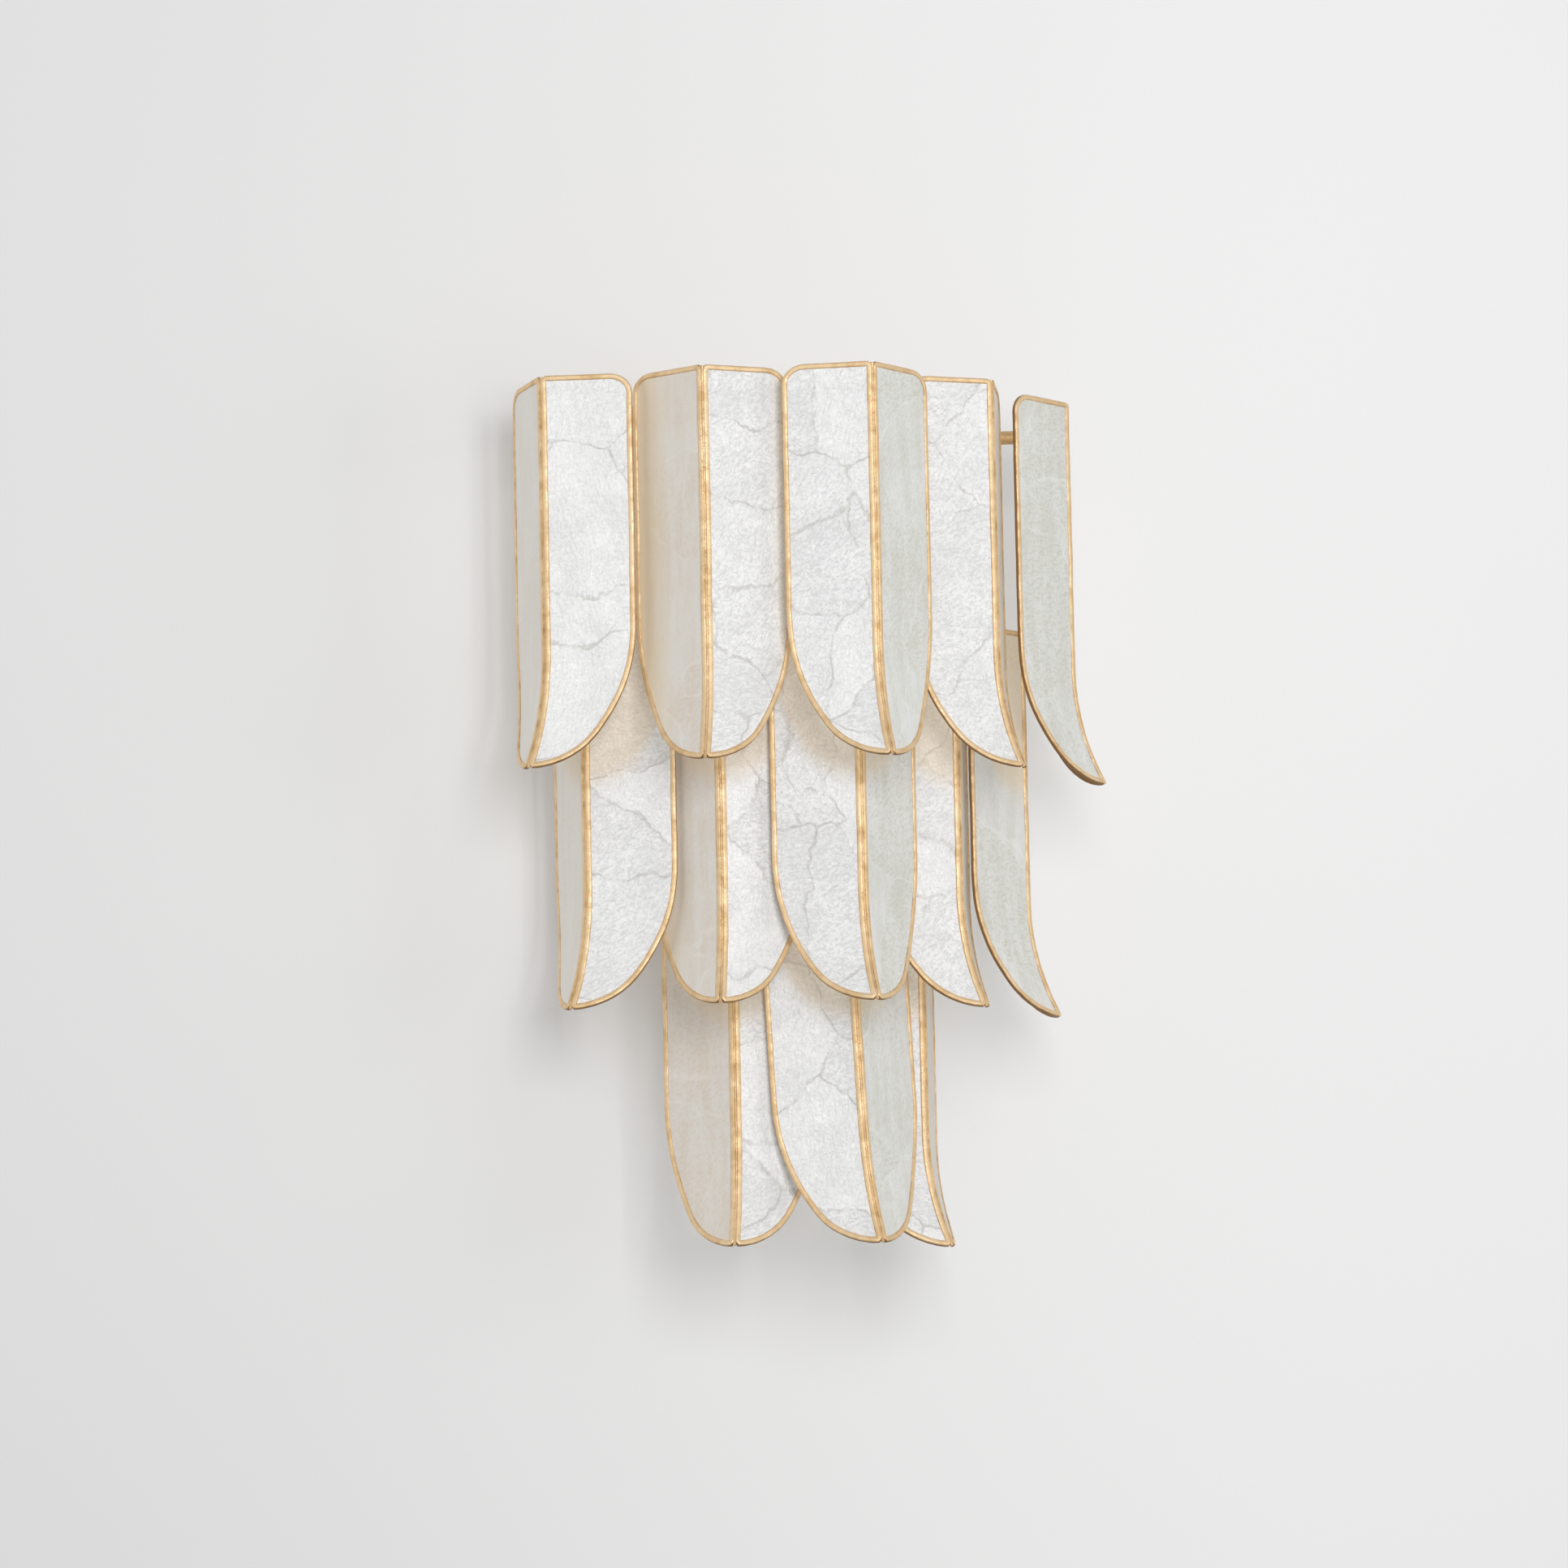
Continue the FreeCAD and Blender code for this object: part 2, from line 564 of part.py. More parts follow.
def draw_hoop_edge(sketch, radius, corner, back):
    """Draw one edge of a hoop: an arc in front, a bend at each end and a straight back along the pan."""
    outer, bend, depth = number(radius), number(corner), number(back)
    bend_y = -depth - bend
    bend_x = math.sqrt((outer - bend)**2 - bend_y**2)
    turn = math.degrees(math.atan2(-bend_y, bend_x))
    front = add_arc(sketch, (0, 0), outer, 180 + turn, 360 - turn)
    right = add_arc(sketch, (bend_x, bend_y), bend, -turn, 90)
    straight = add_line(sketch, (bend_x, -depth), (-bend_x, -depth))
    left = add_arc(sketch, (-bend_x, bend_y), bend, 90, 180 + turn)
    join(sketch, "Tangent", (front, 2, right, 1), (right, 2, straight, 1), (straight, 2, left, 1),
         (left, 2, front, 1))
    sketch.addConstraint(Sketcher.Constraint("Coincident", front, 3, -1, 1))
    sketch.addConstraint(Sketcher.Constraint("Equal", right, left))
    sketch.addConstraint(Sketcher.Constraint("Horizontal", straight))
    set_radius(sketch, front, radius)
    set_radius(sketch, right, corner)
    locate(sketch, straight, 1, y="-(%s)" % back)


def make_hoop(tier):
    """Flat-bar hoop of a tier: arms end on its front, and its straight back lies on the pan."""
    body = new_body("%s_hoop" % tier)
    sketch = new_sketch(body, "XY_Plane", "ring")
    radius = "%s_radius - hoop_inset" % tier
    draw_hoop_edge(sketch, radius, "hoop_corner", "pan_depth")
    draw_hoop_edge(sketch, "%s - bar_thickness" % radius, "hoop_corner - bar_thickness",
                   "pan_depth + bar_thickness")
    pad(body, sketch, "bar_height", "Symmetric")
    put(body, z=ARM_Z[tier])
    return body


# ---------------------------------------------------------------- wall pan and its fastening

def make_pan():
    """Wall pan: a shallow box, open to the wall, with holes for two screws and two leads."""
    body = new_body("wall_pan")
    sketch = new_sketch(body, "XZ_Plane", "outside")
    draw_rounded_rectangle(sketch, "pan_width/2", "(%s)/2" % PAN_HEIGHT, "pan_corner")
    pad(body, sketch, "pan_depth")
    sketch = new_sketch(body, "XZ_Plane", "hollow")
    draw_rounded_rectangle(sketch, "pan_width/2 - pan_wall", "(%s)/2 - pan_wall" % PAN_HEIGHT,
                           "pan_corner - pan_wall")
    hollow = body.newObject("PartDesign::Pocket", "Hollow")
    hollow.Profile = sketch
    hollow.Reversed = True
    hollow.setExpression("Length", formula("pan_depth - pan_wall"))
    sketch = new_sketch(body, "XZ_Plane", "holes")
    for sign in ("", "-"):
        add_circle(sketch, "0", "%s(%s)/2" % (sign, SCREW_SPACING), "screw_diameter + 2*screw_play")
        add_circle(sketch, "%slamp_offset" % sign, "bracket_sheet + lead_height - lamp_drop", "grommet_diameter")
    pocket_through(body, sketch)
    return body


def make_crossbar():
    """Crossbar screwed to the wall box: flat on the wall, with raised ends that hold the machine screws."""
    body = new_body("crossbar")
    sketch = new_sketch(body, "YZ_Plane", "profile")
    flat, end = "strap_flat/2", STRAP_END_Z
    tip = "%s + strap_end" % STRAP_END_Z
    upper = [("0", flat), ("-strap_rise", end), ("-strap_rise", tip), ("-strap_rise - strap_sheet", tip),
             ("-strap_rise - strap_sheet", end), ("-strap_sheet", flat)]
    lower = [(y, "-(%s)" % z) for y, z in reversed(upper)]
    draw_polygon(sketch, upper + lower)
    pad(body, sketch, "strap_width", "Symmetric")
    sketch = new_sketch(body, "XZ_Plane", "screw_holes")
    for sign in ("", "-"):
        add_circle(sketch, "0", "%s(%s)/2" % (sign, SCREW_SPACING), "screw_diameter + screw_play")
    add_circle(sketch, "0", "0", "screw_diameter + screw_play")
    pocket_through(body, sketch)
    sketch = new_sketch(body, "XZ_Plane", "slots")
    for sign in (1, -1):
        draw_slot(sketch, sign)
    pocket_through(body, sketch)
    return body


def draw_slot(sketch, sign):
    """Draw an upright slot above or below the crossbar's middle."""
    half = number("slot_width")/2
    centre = sign*number("slot_spacing")/2
    reach = number("slot_length")/2 - half
    high = add_arc(sketch, (0, centre + reach), half, 0, 180)
    low = add_arc(sketch, (0, centre - reach), half, 180, 360)
    right = add_line(sketch, (half, centre + reach), (half, centre - reach))
    left = add_line(sketch, (-half, centre - reach), (-half, centre + reach))
    join(sketch, "Tangent", (high, 1, right, 1), (right, 2, low, 2), (low, 1, left, 1), (left, 2, high, 2))
    set_radius(sketch, high, "slot_width/2")
    middle = "%d*slot_spacing/2" % sign
    locate(sketch, high, 3, "0", "%s + (slot_length - slot_width)/2" % middle)
    locate(sketch, low, 3, "0", "%s - (slot_length - slot_width)/2" % middle)


def make_machine_screws():
    """Two machine screws: heads behind the crossbar's ends, shanks through the pan."""
    back = "-strap_rise + seat_gap"
    tip = "-pan_depth - nut_height/2"
    body, screw = turned_along_y("machine_screws", [
        ("%s + head_height" % back, "0"),
        ("%s + head_height" % back, "head_diameter/2"),
        (back, "head_diameter/2"),
        (back, "screw_diameter/2"),
        (tip, "screw_diameter/2"),
        (tip, "0")])
    repeat_along(body, screw, "Z_Axis", SCREW_SPACING)
    put(body, z="-(%s)/2" % SCREW_SPACING)
    return body


def make_cap_nuts():
    """Two stepped cap nuts that hold the pan on its screws."""
    seat = "-pan_depth - seat_gap"
    bore = "screw_diameter/2 + seat_gap"
    body, nut = turned_along_y("cap_nuts", [
        (seat, bore),
        (seat, "nut_width/2"),
        ("%s - nut_flange" % seat, "nut_width/2"),
        ("%s - nut_flange" % seat, "nut_cap/2"),
        ("%s - nut_height" % seat, "nut_cap/2"),
        ("%s - nut_height" % seat, "0"),
        ("-pan_depth - nut_height/2 - seat_gap", "0"),
        ("-pan_depth - nut_height/2 - seat_gap", bore)])
    repeat_along(body, nut, "Z_Axis", SCREW_SPACING)
    put(body, z="-(%s)/2" % SCREW_SPACING)
    return body


def make_ground_screw():
    """Earth screw in the middle of the crossbar."""
    front = "-strap_sheet - seat_gap"
    body, _ = turned_along_y("ground_screw", [
        ("0", "0"),
        ("0", "screw_diameter/2"),
        (front, "screw_diameter/2"),
        (front, "head_diameter/2"),
        ("%s - head_height" % front, "head_diameter/2"),
        ("%s - head_height" % front, "0")])
    return body


# ---------------------------------------------------------------- lamps

def make_bracket(label, side):
    """Bent bracket: a leg down the pan's front and a shelf that the lampholder stands on."""
    body = new_body(label)
    sketch = new_sketch(body, "YZ_Plane", "profile")
    draw_polygon(sketch, [
        ("0", "0"), ("0", "bracket_sheet - bracket_leg"), ("-bracket_sheet", "bracket_sheet - bracket_leg"),
        ("-bracket_sheet", "0"), ("-lamp_reach - bracket_nose", "0"),
        ("-lamp_reach - bracket_nose", "bracket_sheet"), ("0", "bracket_sheet")])
    pad(body, sketch, "bracket_width", "Symmetric")
    put(body, "%s*lamp_offset" % side, "-pan_depth", LAMP_BASE_Z)
    return body


def make_bracket_screws():
    """Short screws through the bracket legs; their shanks are left off behind the heads."""
    front = "-pan_depth - bracket_sheet - seat_gap"
    body, screw = turned_along_y("bracket_screws", [
        (front, "0"),
        (front, "head_diameter/2"),
        ("%s - head_height" % front, "head_diameter/2"),
        ("%s - head_height" % front, "0")])
    repeat_along(body, screw, "X_Axis", "2*lamp_offset")
    put(body, x="-lamp_offset", z="%s + bracket_sheet/2 - bracket_leg/2" % LAMP_BASE_Z)
    return body


def make_lampholder(label, side):
    """Round lampholder with a well for the lamp's screw cap."""
    well = "cap_diameter/2 + cap_play"
    floor = "holder_height - cap_depth - cap_play"
    body, _ = turned_along_z(label, [
        ("0", "0"), ("holder_diameter/2", "0"), ("holder_diameter/2", "holder_height"),
        (well, "holder_height"), (well, floor), ("0", floor)])
    put(body, "%s*lamp_offset" % side, LAMP_Y, "%s + bracket_sheet" % LAMP_BASE_Z)
    return body


def make_lamp_cap(label, side):
    """Screw cap of a lamp, seated in its holder."""
    body, _ = turned_along_z(label, [
        ("0", "-cap_depth"), ("cap_diameter/2", "-cap_depth"), ("cap_diameter/2", "cap_collar"),
        ("0", "cap_collar")])
    put(body, "%s*lamp_offset" % side, LAMP_Y, "%s + bracket_sheet + holder_height" % LAMP_BASE_Z)
    return body


def make_lamp_glass(label, side):
    """Tubular lamp's glass, standing on the cap's collar."""
    body, _ = turned_along_z(label, [
        ("0", "0"), ("bulb_diameter/2", "0"), ("bulb_diameter/2", "bulb_height"), ("0", "bulb_height")])
    put(body, "%s*lamp_offset" % side, LAMP_Y, "%s + bracket_sheet + holder_height + cap_collar" % LAMP_BASE_Z)
    return body


def make_leads():
    """Two sheathed leads, from the back of each lampholder through the pan to the terminal block."""
    body, lead = turned_along_y("lamp_leads", [
        ("-pan_depth + pan_wall - seat_gap", "0"),
        ("-pan_depth + pan_wall - seat_gap", "lead_diameter/2"),
        ("%s + holder_diameter/2 + seat_gap" % LAMP_Y, "lead_diameter/2"),
        ("%s + holder_diameter/2 + seat_gap" % LAMP_Y, "0")])
    repeat_along(body, lead, "X_Axis", "2*lamp_offset")
    put(body, x="-lamp_offset", z="%s + bracket_sheet + lead_height" % LAMP_BASE_Z)
    return body


def make_grommets():
    """Two grommets that line the lead holes of the pan."""
    bore = "lead_diameter/2 + lead_play"
    shank = "grommet_diameter/2 - seat_gap"
    front = "-pan_depth - seat_gap"
    body, grommet = turned_along_y("grommets", [
        ("-pan_depth + pan_wall", bore), ("-pan_depth + pan_wall", shank), (front, shank),
        (front, "grommet_flange/2"), ("%s - grommet_lip" % front, "grommet_flange/2"),
        ("%s - grommet_lip" % front, bore)])
    repeat_along(body, grommet, "X_Axis", "2*lamp_offset")
    put(body, x="-lamp_offset", z="%s + bracket_sheet + lead_height" % LAMP_BASE_Z)
    return body


def make_terminal_block():
    """Terminal block on the inside of the pan's front, behind both grommets."""
    block = DOC.addObject("Part::Box", "terminal_block")
    block.Label = "terminal_block"
    block.setExpression("Length", formula("block_width"))
    block.setExpression("Width", formula("block_depth"))
    block.setExpression("Height", formula("block_height"))
    put(block, "-block_width/2", "-pan_depth + pan_wall + seat_gap",
        "%s + bracket_sheet + lead_height - block_height/2" % LAMP_BASE_Z)
    return block


# ---------------------------------------------------------------- the whole sconce

def make_nodes():
    nodes = make_petals()
    nodes += [make_hoop(tier) for tier in TIERS]
    nodes += [make_pan(), make_crossbar(), make_machine_screws(), make_cap_nuts(), make_ground_screw()]
    for name, side in (("left", "-1"), ("right", "1")):
        nodes.append(make_bracket("lamp_bracket_%s" % name, side))
        nodes.append(make_lampholder("lampholder_%s" % name, side))
        nodes.append(make_lamp_cap("lamp_cap_%s" % name, side))
        nodes.append(make_lamp_glass("lamp_glass_%s" % name, side))
    nodes += [make_bracket_screws(), make_leads(), make_grommets(), make_terminal_block()]
    return nodes


def check_document():
    """Stop if any object of the document failed."""
    failed = [item.Label for item in DOC.Objects if {"Invalid", "Error"} & set(item.State)]
    if failed:
        raise RuntimeError("failed objects: %s" % ", ".join(failed))


def check_shape(node, shape):
    """Stop if a node's shape is empty or faulty."""
    if shape.isNull() or not shape.isValid() or not shape.Solids:
        raise RuntimeError("%s has no valid solid" % node.Label)


def main():
    os.makedirs("parts", exist_ok=True)
    nodes = make_nodes()
    DOC.recompute()
    check_document()
    shapes = {node.Label: Part.getShape(node) for node in nodes}
    for node in nodes:
        check_shape(node, shapes[node.Label])
    for label, shape in shapes.items():
        shape.exportStep("parts/%s.step" % label)
    print("%d nodes, %d solids" % (len(shapes), sum(len(shape.Solids) for shape in shapes.values())))


main()
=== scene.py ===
"""Looks of the shell wall sconce: pearly shells in gilt frames, on a pale wall in soft light.

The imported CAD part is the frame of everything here. Lengths are in metres, +Z is up, the wall is the plane
Y = 0 and the sconce faces -Y.
"""
import logging
import math
from dataclasses import dataclass, field
from enum import Enum

import bpy
from bpy.types import Material, Node, NodeSocket as Socket, NodeTree, Object
from mathutils import Matrix, Vector


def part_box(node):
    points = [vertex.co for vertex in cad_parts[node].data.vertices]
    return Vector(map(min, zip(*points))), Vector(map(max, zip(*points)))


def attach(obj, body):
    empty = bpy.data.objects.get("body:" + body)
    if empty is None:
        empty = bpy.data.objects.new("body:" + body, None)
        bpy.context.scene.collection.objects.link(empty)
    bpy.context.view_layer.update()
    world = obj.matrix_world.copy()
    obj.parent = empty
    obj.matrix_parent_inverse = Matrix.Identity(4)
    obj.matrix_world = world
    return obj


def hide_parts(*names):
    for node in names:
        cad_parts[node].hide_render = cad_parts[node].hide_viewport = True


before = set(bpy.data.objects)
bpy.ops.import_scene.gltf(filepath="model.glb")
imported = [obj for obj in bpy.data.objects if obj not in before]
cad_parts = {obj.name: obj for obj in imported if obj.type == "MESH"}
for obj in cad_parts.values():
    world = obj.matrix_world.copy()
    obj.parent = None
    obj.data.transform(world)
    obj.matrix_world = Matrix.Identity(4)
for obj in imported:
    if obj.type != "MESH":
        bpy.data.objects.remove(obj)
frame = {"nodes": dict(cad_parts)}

LOG = logging.getLogger("sconce")
MM = 0.001
Colour = tuple[float, float, float]
Place = tuple[float, float, float]
Point = tuple[float, float]
# From where an effect begins to where it is full.
Range = tuple[float, float]


class Side(Enum):
    """Half of a petal, as seen by someone who faces it."""

    LEFT = -1
    RIGHT = 1


class Tier(Enum):
    """The three tiers from the top down."""

    UPPER = "upper"
    MIDDLE = "middle"
    LOWER = "lower"


class Part(Enum):
    """Parts of a petal's frame."""

    BEAD = 0
    SPINE = 1
    ARM = 2


# ---------------------------------------------------------------- helpers

class NodeBuilder:
    """Short ways to add nodes to a tree and to link them."""

    def __init__(self, tree: NodeTree) -> None:
        """Keep the tree that is filled."""
        self.tree = tree

    def add(self, kind: str, settings: dict | None = None, **inputs: object) -> Node:
        """Add a node.

        Args:
            kind: Blender's name of the node type.
            settings: attributes of the node, such as its operation.
            inputs: values or sockets for its inputs, named as fill takes them.

        Returns:
            The new node.
        """
        node = self.tree.nodes.new(kind)
        for name, value in (settings or {}).items():
            setattr(node, name, value)
        self.fill(node, **inputs)
        return node

    def fill(self, node: Node, **inputs: object) -> None:
        """Link sockets to a node's inputs or set values on them.

        Args:
            node: the node.
            inputs: values or sockets for its inputs. An underscore stands for a space, and i0 is input 0.
        """
        for name, value in inputs.items():
            key = int(name[1:]) if name[0] == "i" and name[1:].isdigit() else name.replace("_", " ")
            self.feed(node.inputs[key], value)

    def feed(self, socket: Socket, value: object) -> None:
        """Link a socket or set a value on an input.

        Args:
            socket: the input.
            value: a socket, a number, a vector, or a colour without its alpha.
        """
        if isinstance(value, Socket):
            self.tree.links.new(value, socket)
        elif isinstance(value, tuple) and len(value) == 3 and socket.type == "RGBA":
            socket.default_value = (*value, 1.0)
        else:
            socket.default_value = value

    def maths(self, operation: str, first: object, second: object = 0.0, third: object = 0.0) -> Socket:
        """Add a Math node and return its result."""
        node = self.add("ShaderNodeMath", {"operation": operation}, i0=first, i1=second, i2=third)
        return node.outputs[0]

    def ramp(self, value: object, low: float, high: float, to_low: float = 0.0,
             to_high: float = 1.0) -> Socket:
        """Map a range to another one smoothly, held at its ends."""
        node = self.add("ShaderNodeMapRange", {"interpolation_type": "SMOOTHSTEP"}, Value=value, From_Min=low,
                        From_Max=high, To_Min=to_low, To_Max=to_high)
        return node.outputs["Result"]

    def blend(self, amount: object, first: object, second: object) -> Socket:
        """Mix two colours.

        Args:
            amount: share of the second colour.
            first: a colour or a socket.
            second: another one.

        Returns:
            The mixed colour.
        """
        node = self.add("ShaderNodeMix", {"data_type": "RGBA"}, i0=amount)
        self.feed(node.inputs[6], first)
        self.feed(node.inputs[7], second)
        return node.outputs[2]

    def noise(self, vector: object, scale: float, detail: float = 3.0, roughness: float = 0.5,
              distortion: float = 0.0) -> Node:
        """Add a noise texture."""
        return self.add("ShaderNodeTexNoise", Vector=vector, Scale=scale, Detail=detail, Roughness=roughness,
                        Distortion=distortion)


def new_group(name: str, inputs: dict[str, object], outputs: dict[str, str]) -> tuple[NodeTree, NodeBuilder]:
    """Make an empty shader node group.

    Args:
        name: what the group is called.
        inputs: names of the inputs with their default values.
        outputs: names of the outputs with their socket types.

    Returns:
        The group and a builder for its nodes.
    """
    group = bpy.data.node_groups.new(name, "ShaderNodeTree")
    for label, value in inputs.items():
        kind = "NodeSocketVector" if value is None else (
            "NodeSocketColor" if isinstance(value, tuple) else "NodeSocketFloat")
        socket = group.interface.new_socket(label, in_out="INPUT", socket_type=kind)
        if isinstance(value, tuple):
            socket.default_value = (*value, 1.0)
        elif value is not None:
            socket.default_value = value
    for label, kind in outputs.items():
        group.interface.new_socket(label, in_out="OUTPUT", socket_type=kind)
    return group, NodeBuilder(group)


def new_material(name: str) -> tuple[Material, NodeBuilder, Node]:
    """Make a material with one Principled BSDF.

    Args:
        name: what the material is called.

    Returns:
        The material, a builder for its nodes and the shader.
    """
    material = bpy.data.materials.new(name)
    material.use_nodes = True
    nodes = material.node_tree.nodes
    shader = next(node for node in nodes if node.type == "BSDF_PRINCIPLED")
    return material, NodeBuilder(material.node_tree), shader


def add_object(name: str, data: bpy.types.ID) -> Object:
    """Put an object in the scene.

    Args:
        name: its name.
        data: its mesh, lamp or camera.

    Returns:
        The object.
    """
    thing = bpy.data.objects.new(name, data)
    bpy.context.collection.objects.link(thing)
    return thing


def set_surface(material: Material, build: NodeBuilder, shader: Node) -> None:
    """Make a shader the surface of a material."""
    leave = next(node for node in material.node_tree.nodes if node.type == "OUTPUT_MATERIAL")
    build.feed(leave.inputs["Surface"], shader.outputs[0])


# ---------------------------------------------------------------- finishes

class Grain:
    """Shader node group that more than one finish uses."""

    CLOUD_EDGES = (0.35, 0.68)
    CLOUD_SHARE = 0.6
    SPECK_EDGES = (0.56, 0.72)
    SPECK_FINENESS = 9.0

    def __init__(self) -> None:
        """Build the group once."""
        self.mottle = self._make_mottle()

    def _make_mottle(self) -> NodeTree:
        """Uneven tone, from broad clouds to fine specks, with a height that follows it.

        Returns:
            The node group.
        """
        group, build = new_group(
            "mottle",
            {"Vector": None, "Light": (0.8, 0.8, 0.8), "Dark": (0.4, 0.4, 0.4), "Scale": 60.0, "Specks": 0.4},
            {"Color": "NodeSocketColor", "Height": "NodeSocketFloat", "Mask": "NodeSocketFloat"})
        entry = build.add("NodeGroupInput")
        leave = build.add("NodeGroupOutput")
        clouds = build.noise(entry.outputs["Vector"], 1.0, 4.0, 0.6)
        build.feed(clouds.inputs["Scale"], entry.outputs["Scale"])
        fine = build.noise(entry.outputs["Vector"], 1.0, 2.0, 0.6)
        build.feed(fine.inputs["Scale"], build.maths("MULTIPLY", entry.outputs["Scale"], self.SPECK_FINENESS))
        specks = build.ramp(fine.outputs[0], *self.SPECK_EDGES)
        specks = build.maths("MULTIPLY", specks, entry.outputs["Specks"])
        cloud = build.ramp(clouds.outputs[0], *self.CLOUD_EDGES)
        mask = build.maths("MAXIMUM", build.maths("MULTIPLY", cloud, self.CLOUD_SHARE), specks)
        build.fill(leave, Color=build.blend(mask, entry.outputs["Light"], entry.outputs["Dark"]),
                   Height=build.maths("SUBTRACT", clouds.outputs[0], specks), Mask=mask)
        return group

    def use(self, build: NodeBuilder, vector: object, light: Colour, dark: Colour, scale: float,
            specks: float) -> Node:
        """Place the group in a material with its own values."""
        return build.add("ShaderNodeGroup", {"node_tree": self.mottle}, Vector=vector, Light=light, Dark=dark,
                         Scale=scale, Specks=specks)


@dataclass(frozen=True)
class GiltFinish:
    """Gold leaf laid by hand over metal: warm and satin, with a painted highlight along the front of a bead and
    brown down its sides, partly brown edging and partly painted shade.

    The painted highlight and the painted shade down the sides follow the attribute rim, which tells front from
    side.
    """

    name: str = "gilt"
    leaf: Colour = (0.83, 0.58, 0.31)
    # Pale leaf in patches, and the painted highlight along a bead's front.
    pale: Colour = (0.98, 0.80, 0.55)
    rubbed: Colour = (0.66, 0.44, 0.21)
    # Brown edging, and painted shade down a bead's sides.
    brown_edging_and_painted_shade: Colour = (0.30, 0.16, 0.06)
    metallic: float = 0.6
    roughness: float = 0.47
    ripple: float = 0.45
    ripple_height: float = 0.6*MM
    dullness: float = 0.3
    mottle_scale: float = 140.0
    specks: float = 0.7
    patch_scale: float = 38.0
    patch_edges: Range = (0.42, 0.66)
    patch_share: float = 0.3
    uneven_scale: float = 170.0
    uneven: float = 0.7
    # Where the painted highlight, and the painted shade with brown edging, lie on a bead by its rim value.
    painted_highlight: Range = (0.85, 1.1)
    painted_highlight_share: float = 0.4
    painted_flank_shade: Range = (0.32, 0.85)
    painted_flank_shade_share: float = 0.95

    def make(self, grain: Grain, rimmed: bool) -> Material:
        """Build the material.

        Args:
            grain: shared node groups.
            rimmed: whether the mesh has the attribute "rim", 1 in front of a bead and -1 behind it.

        Returns:
            The material.
        """
        material, build, shader = new_material(self.name)
        place = build.add("ShaderNodeTexCoord").outputs["Object"]
        leaf = grain.use(build, place, self.leaf, self.rubbed, self.mottle_scale, self.specks)
        patches = build.noise(place, self.patch_scale, 2.0).outputs[0]
        patches = build.ramp(patches, *self.patch_edges, 0.0, self.patch_share)
        colour = build.blend(patches, leaf.outputs["Color"], self.pale)
        if rimmed:
            rim = build.add("ShaderNodeAttribute", {"attribute_name": "rim"}).outputs["Fac"]
            uneven = build.noise(place, self.uneven_scale, 2.0).outputs[0]
            uneven = build.maths("MULTIPLY_ADD", uneven, self.uneven, -self.uneven/2)
            edge = build.maths("ADD", rim, uneven)
            # Painted highlight along the front of a bead, then brown edging and painted shade down its sides.
            colour = build.blend(build.ramp(edge, *self.painted_highlight, 0.0, self.painted_highlight_share), colour, self.pale)
            colour = build.blend(build.ramp(edge, *self.painted_flank_shade, self.painted_flank_shade_share, 0.0), colour, self.brown_edging_and_painted_shade)
        rough = build.maths("MULTIPLY_ADD", leaf.outputs["Mask"], self.dullness, self.roughness)
        bump = build.add("ShaderNodeBump", Strength=self.ripple, Distance=self.ripple_height,
                         Height=leaf.outputs["Height"])
        build.fill(shader, Base_Color=colour, Metallic=self.metallic, Roughness=rough, Normal=bump.outputs[0])
        return material


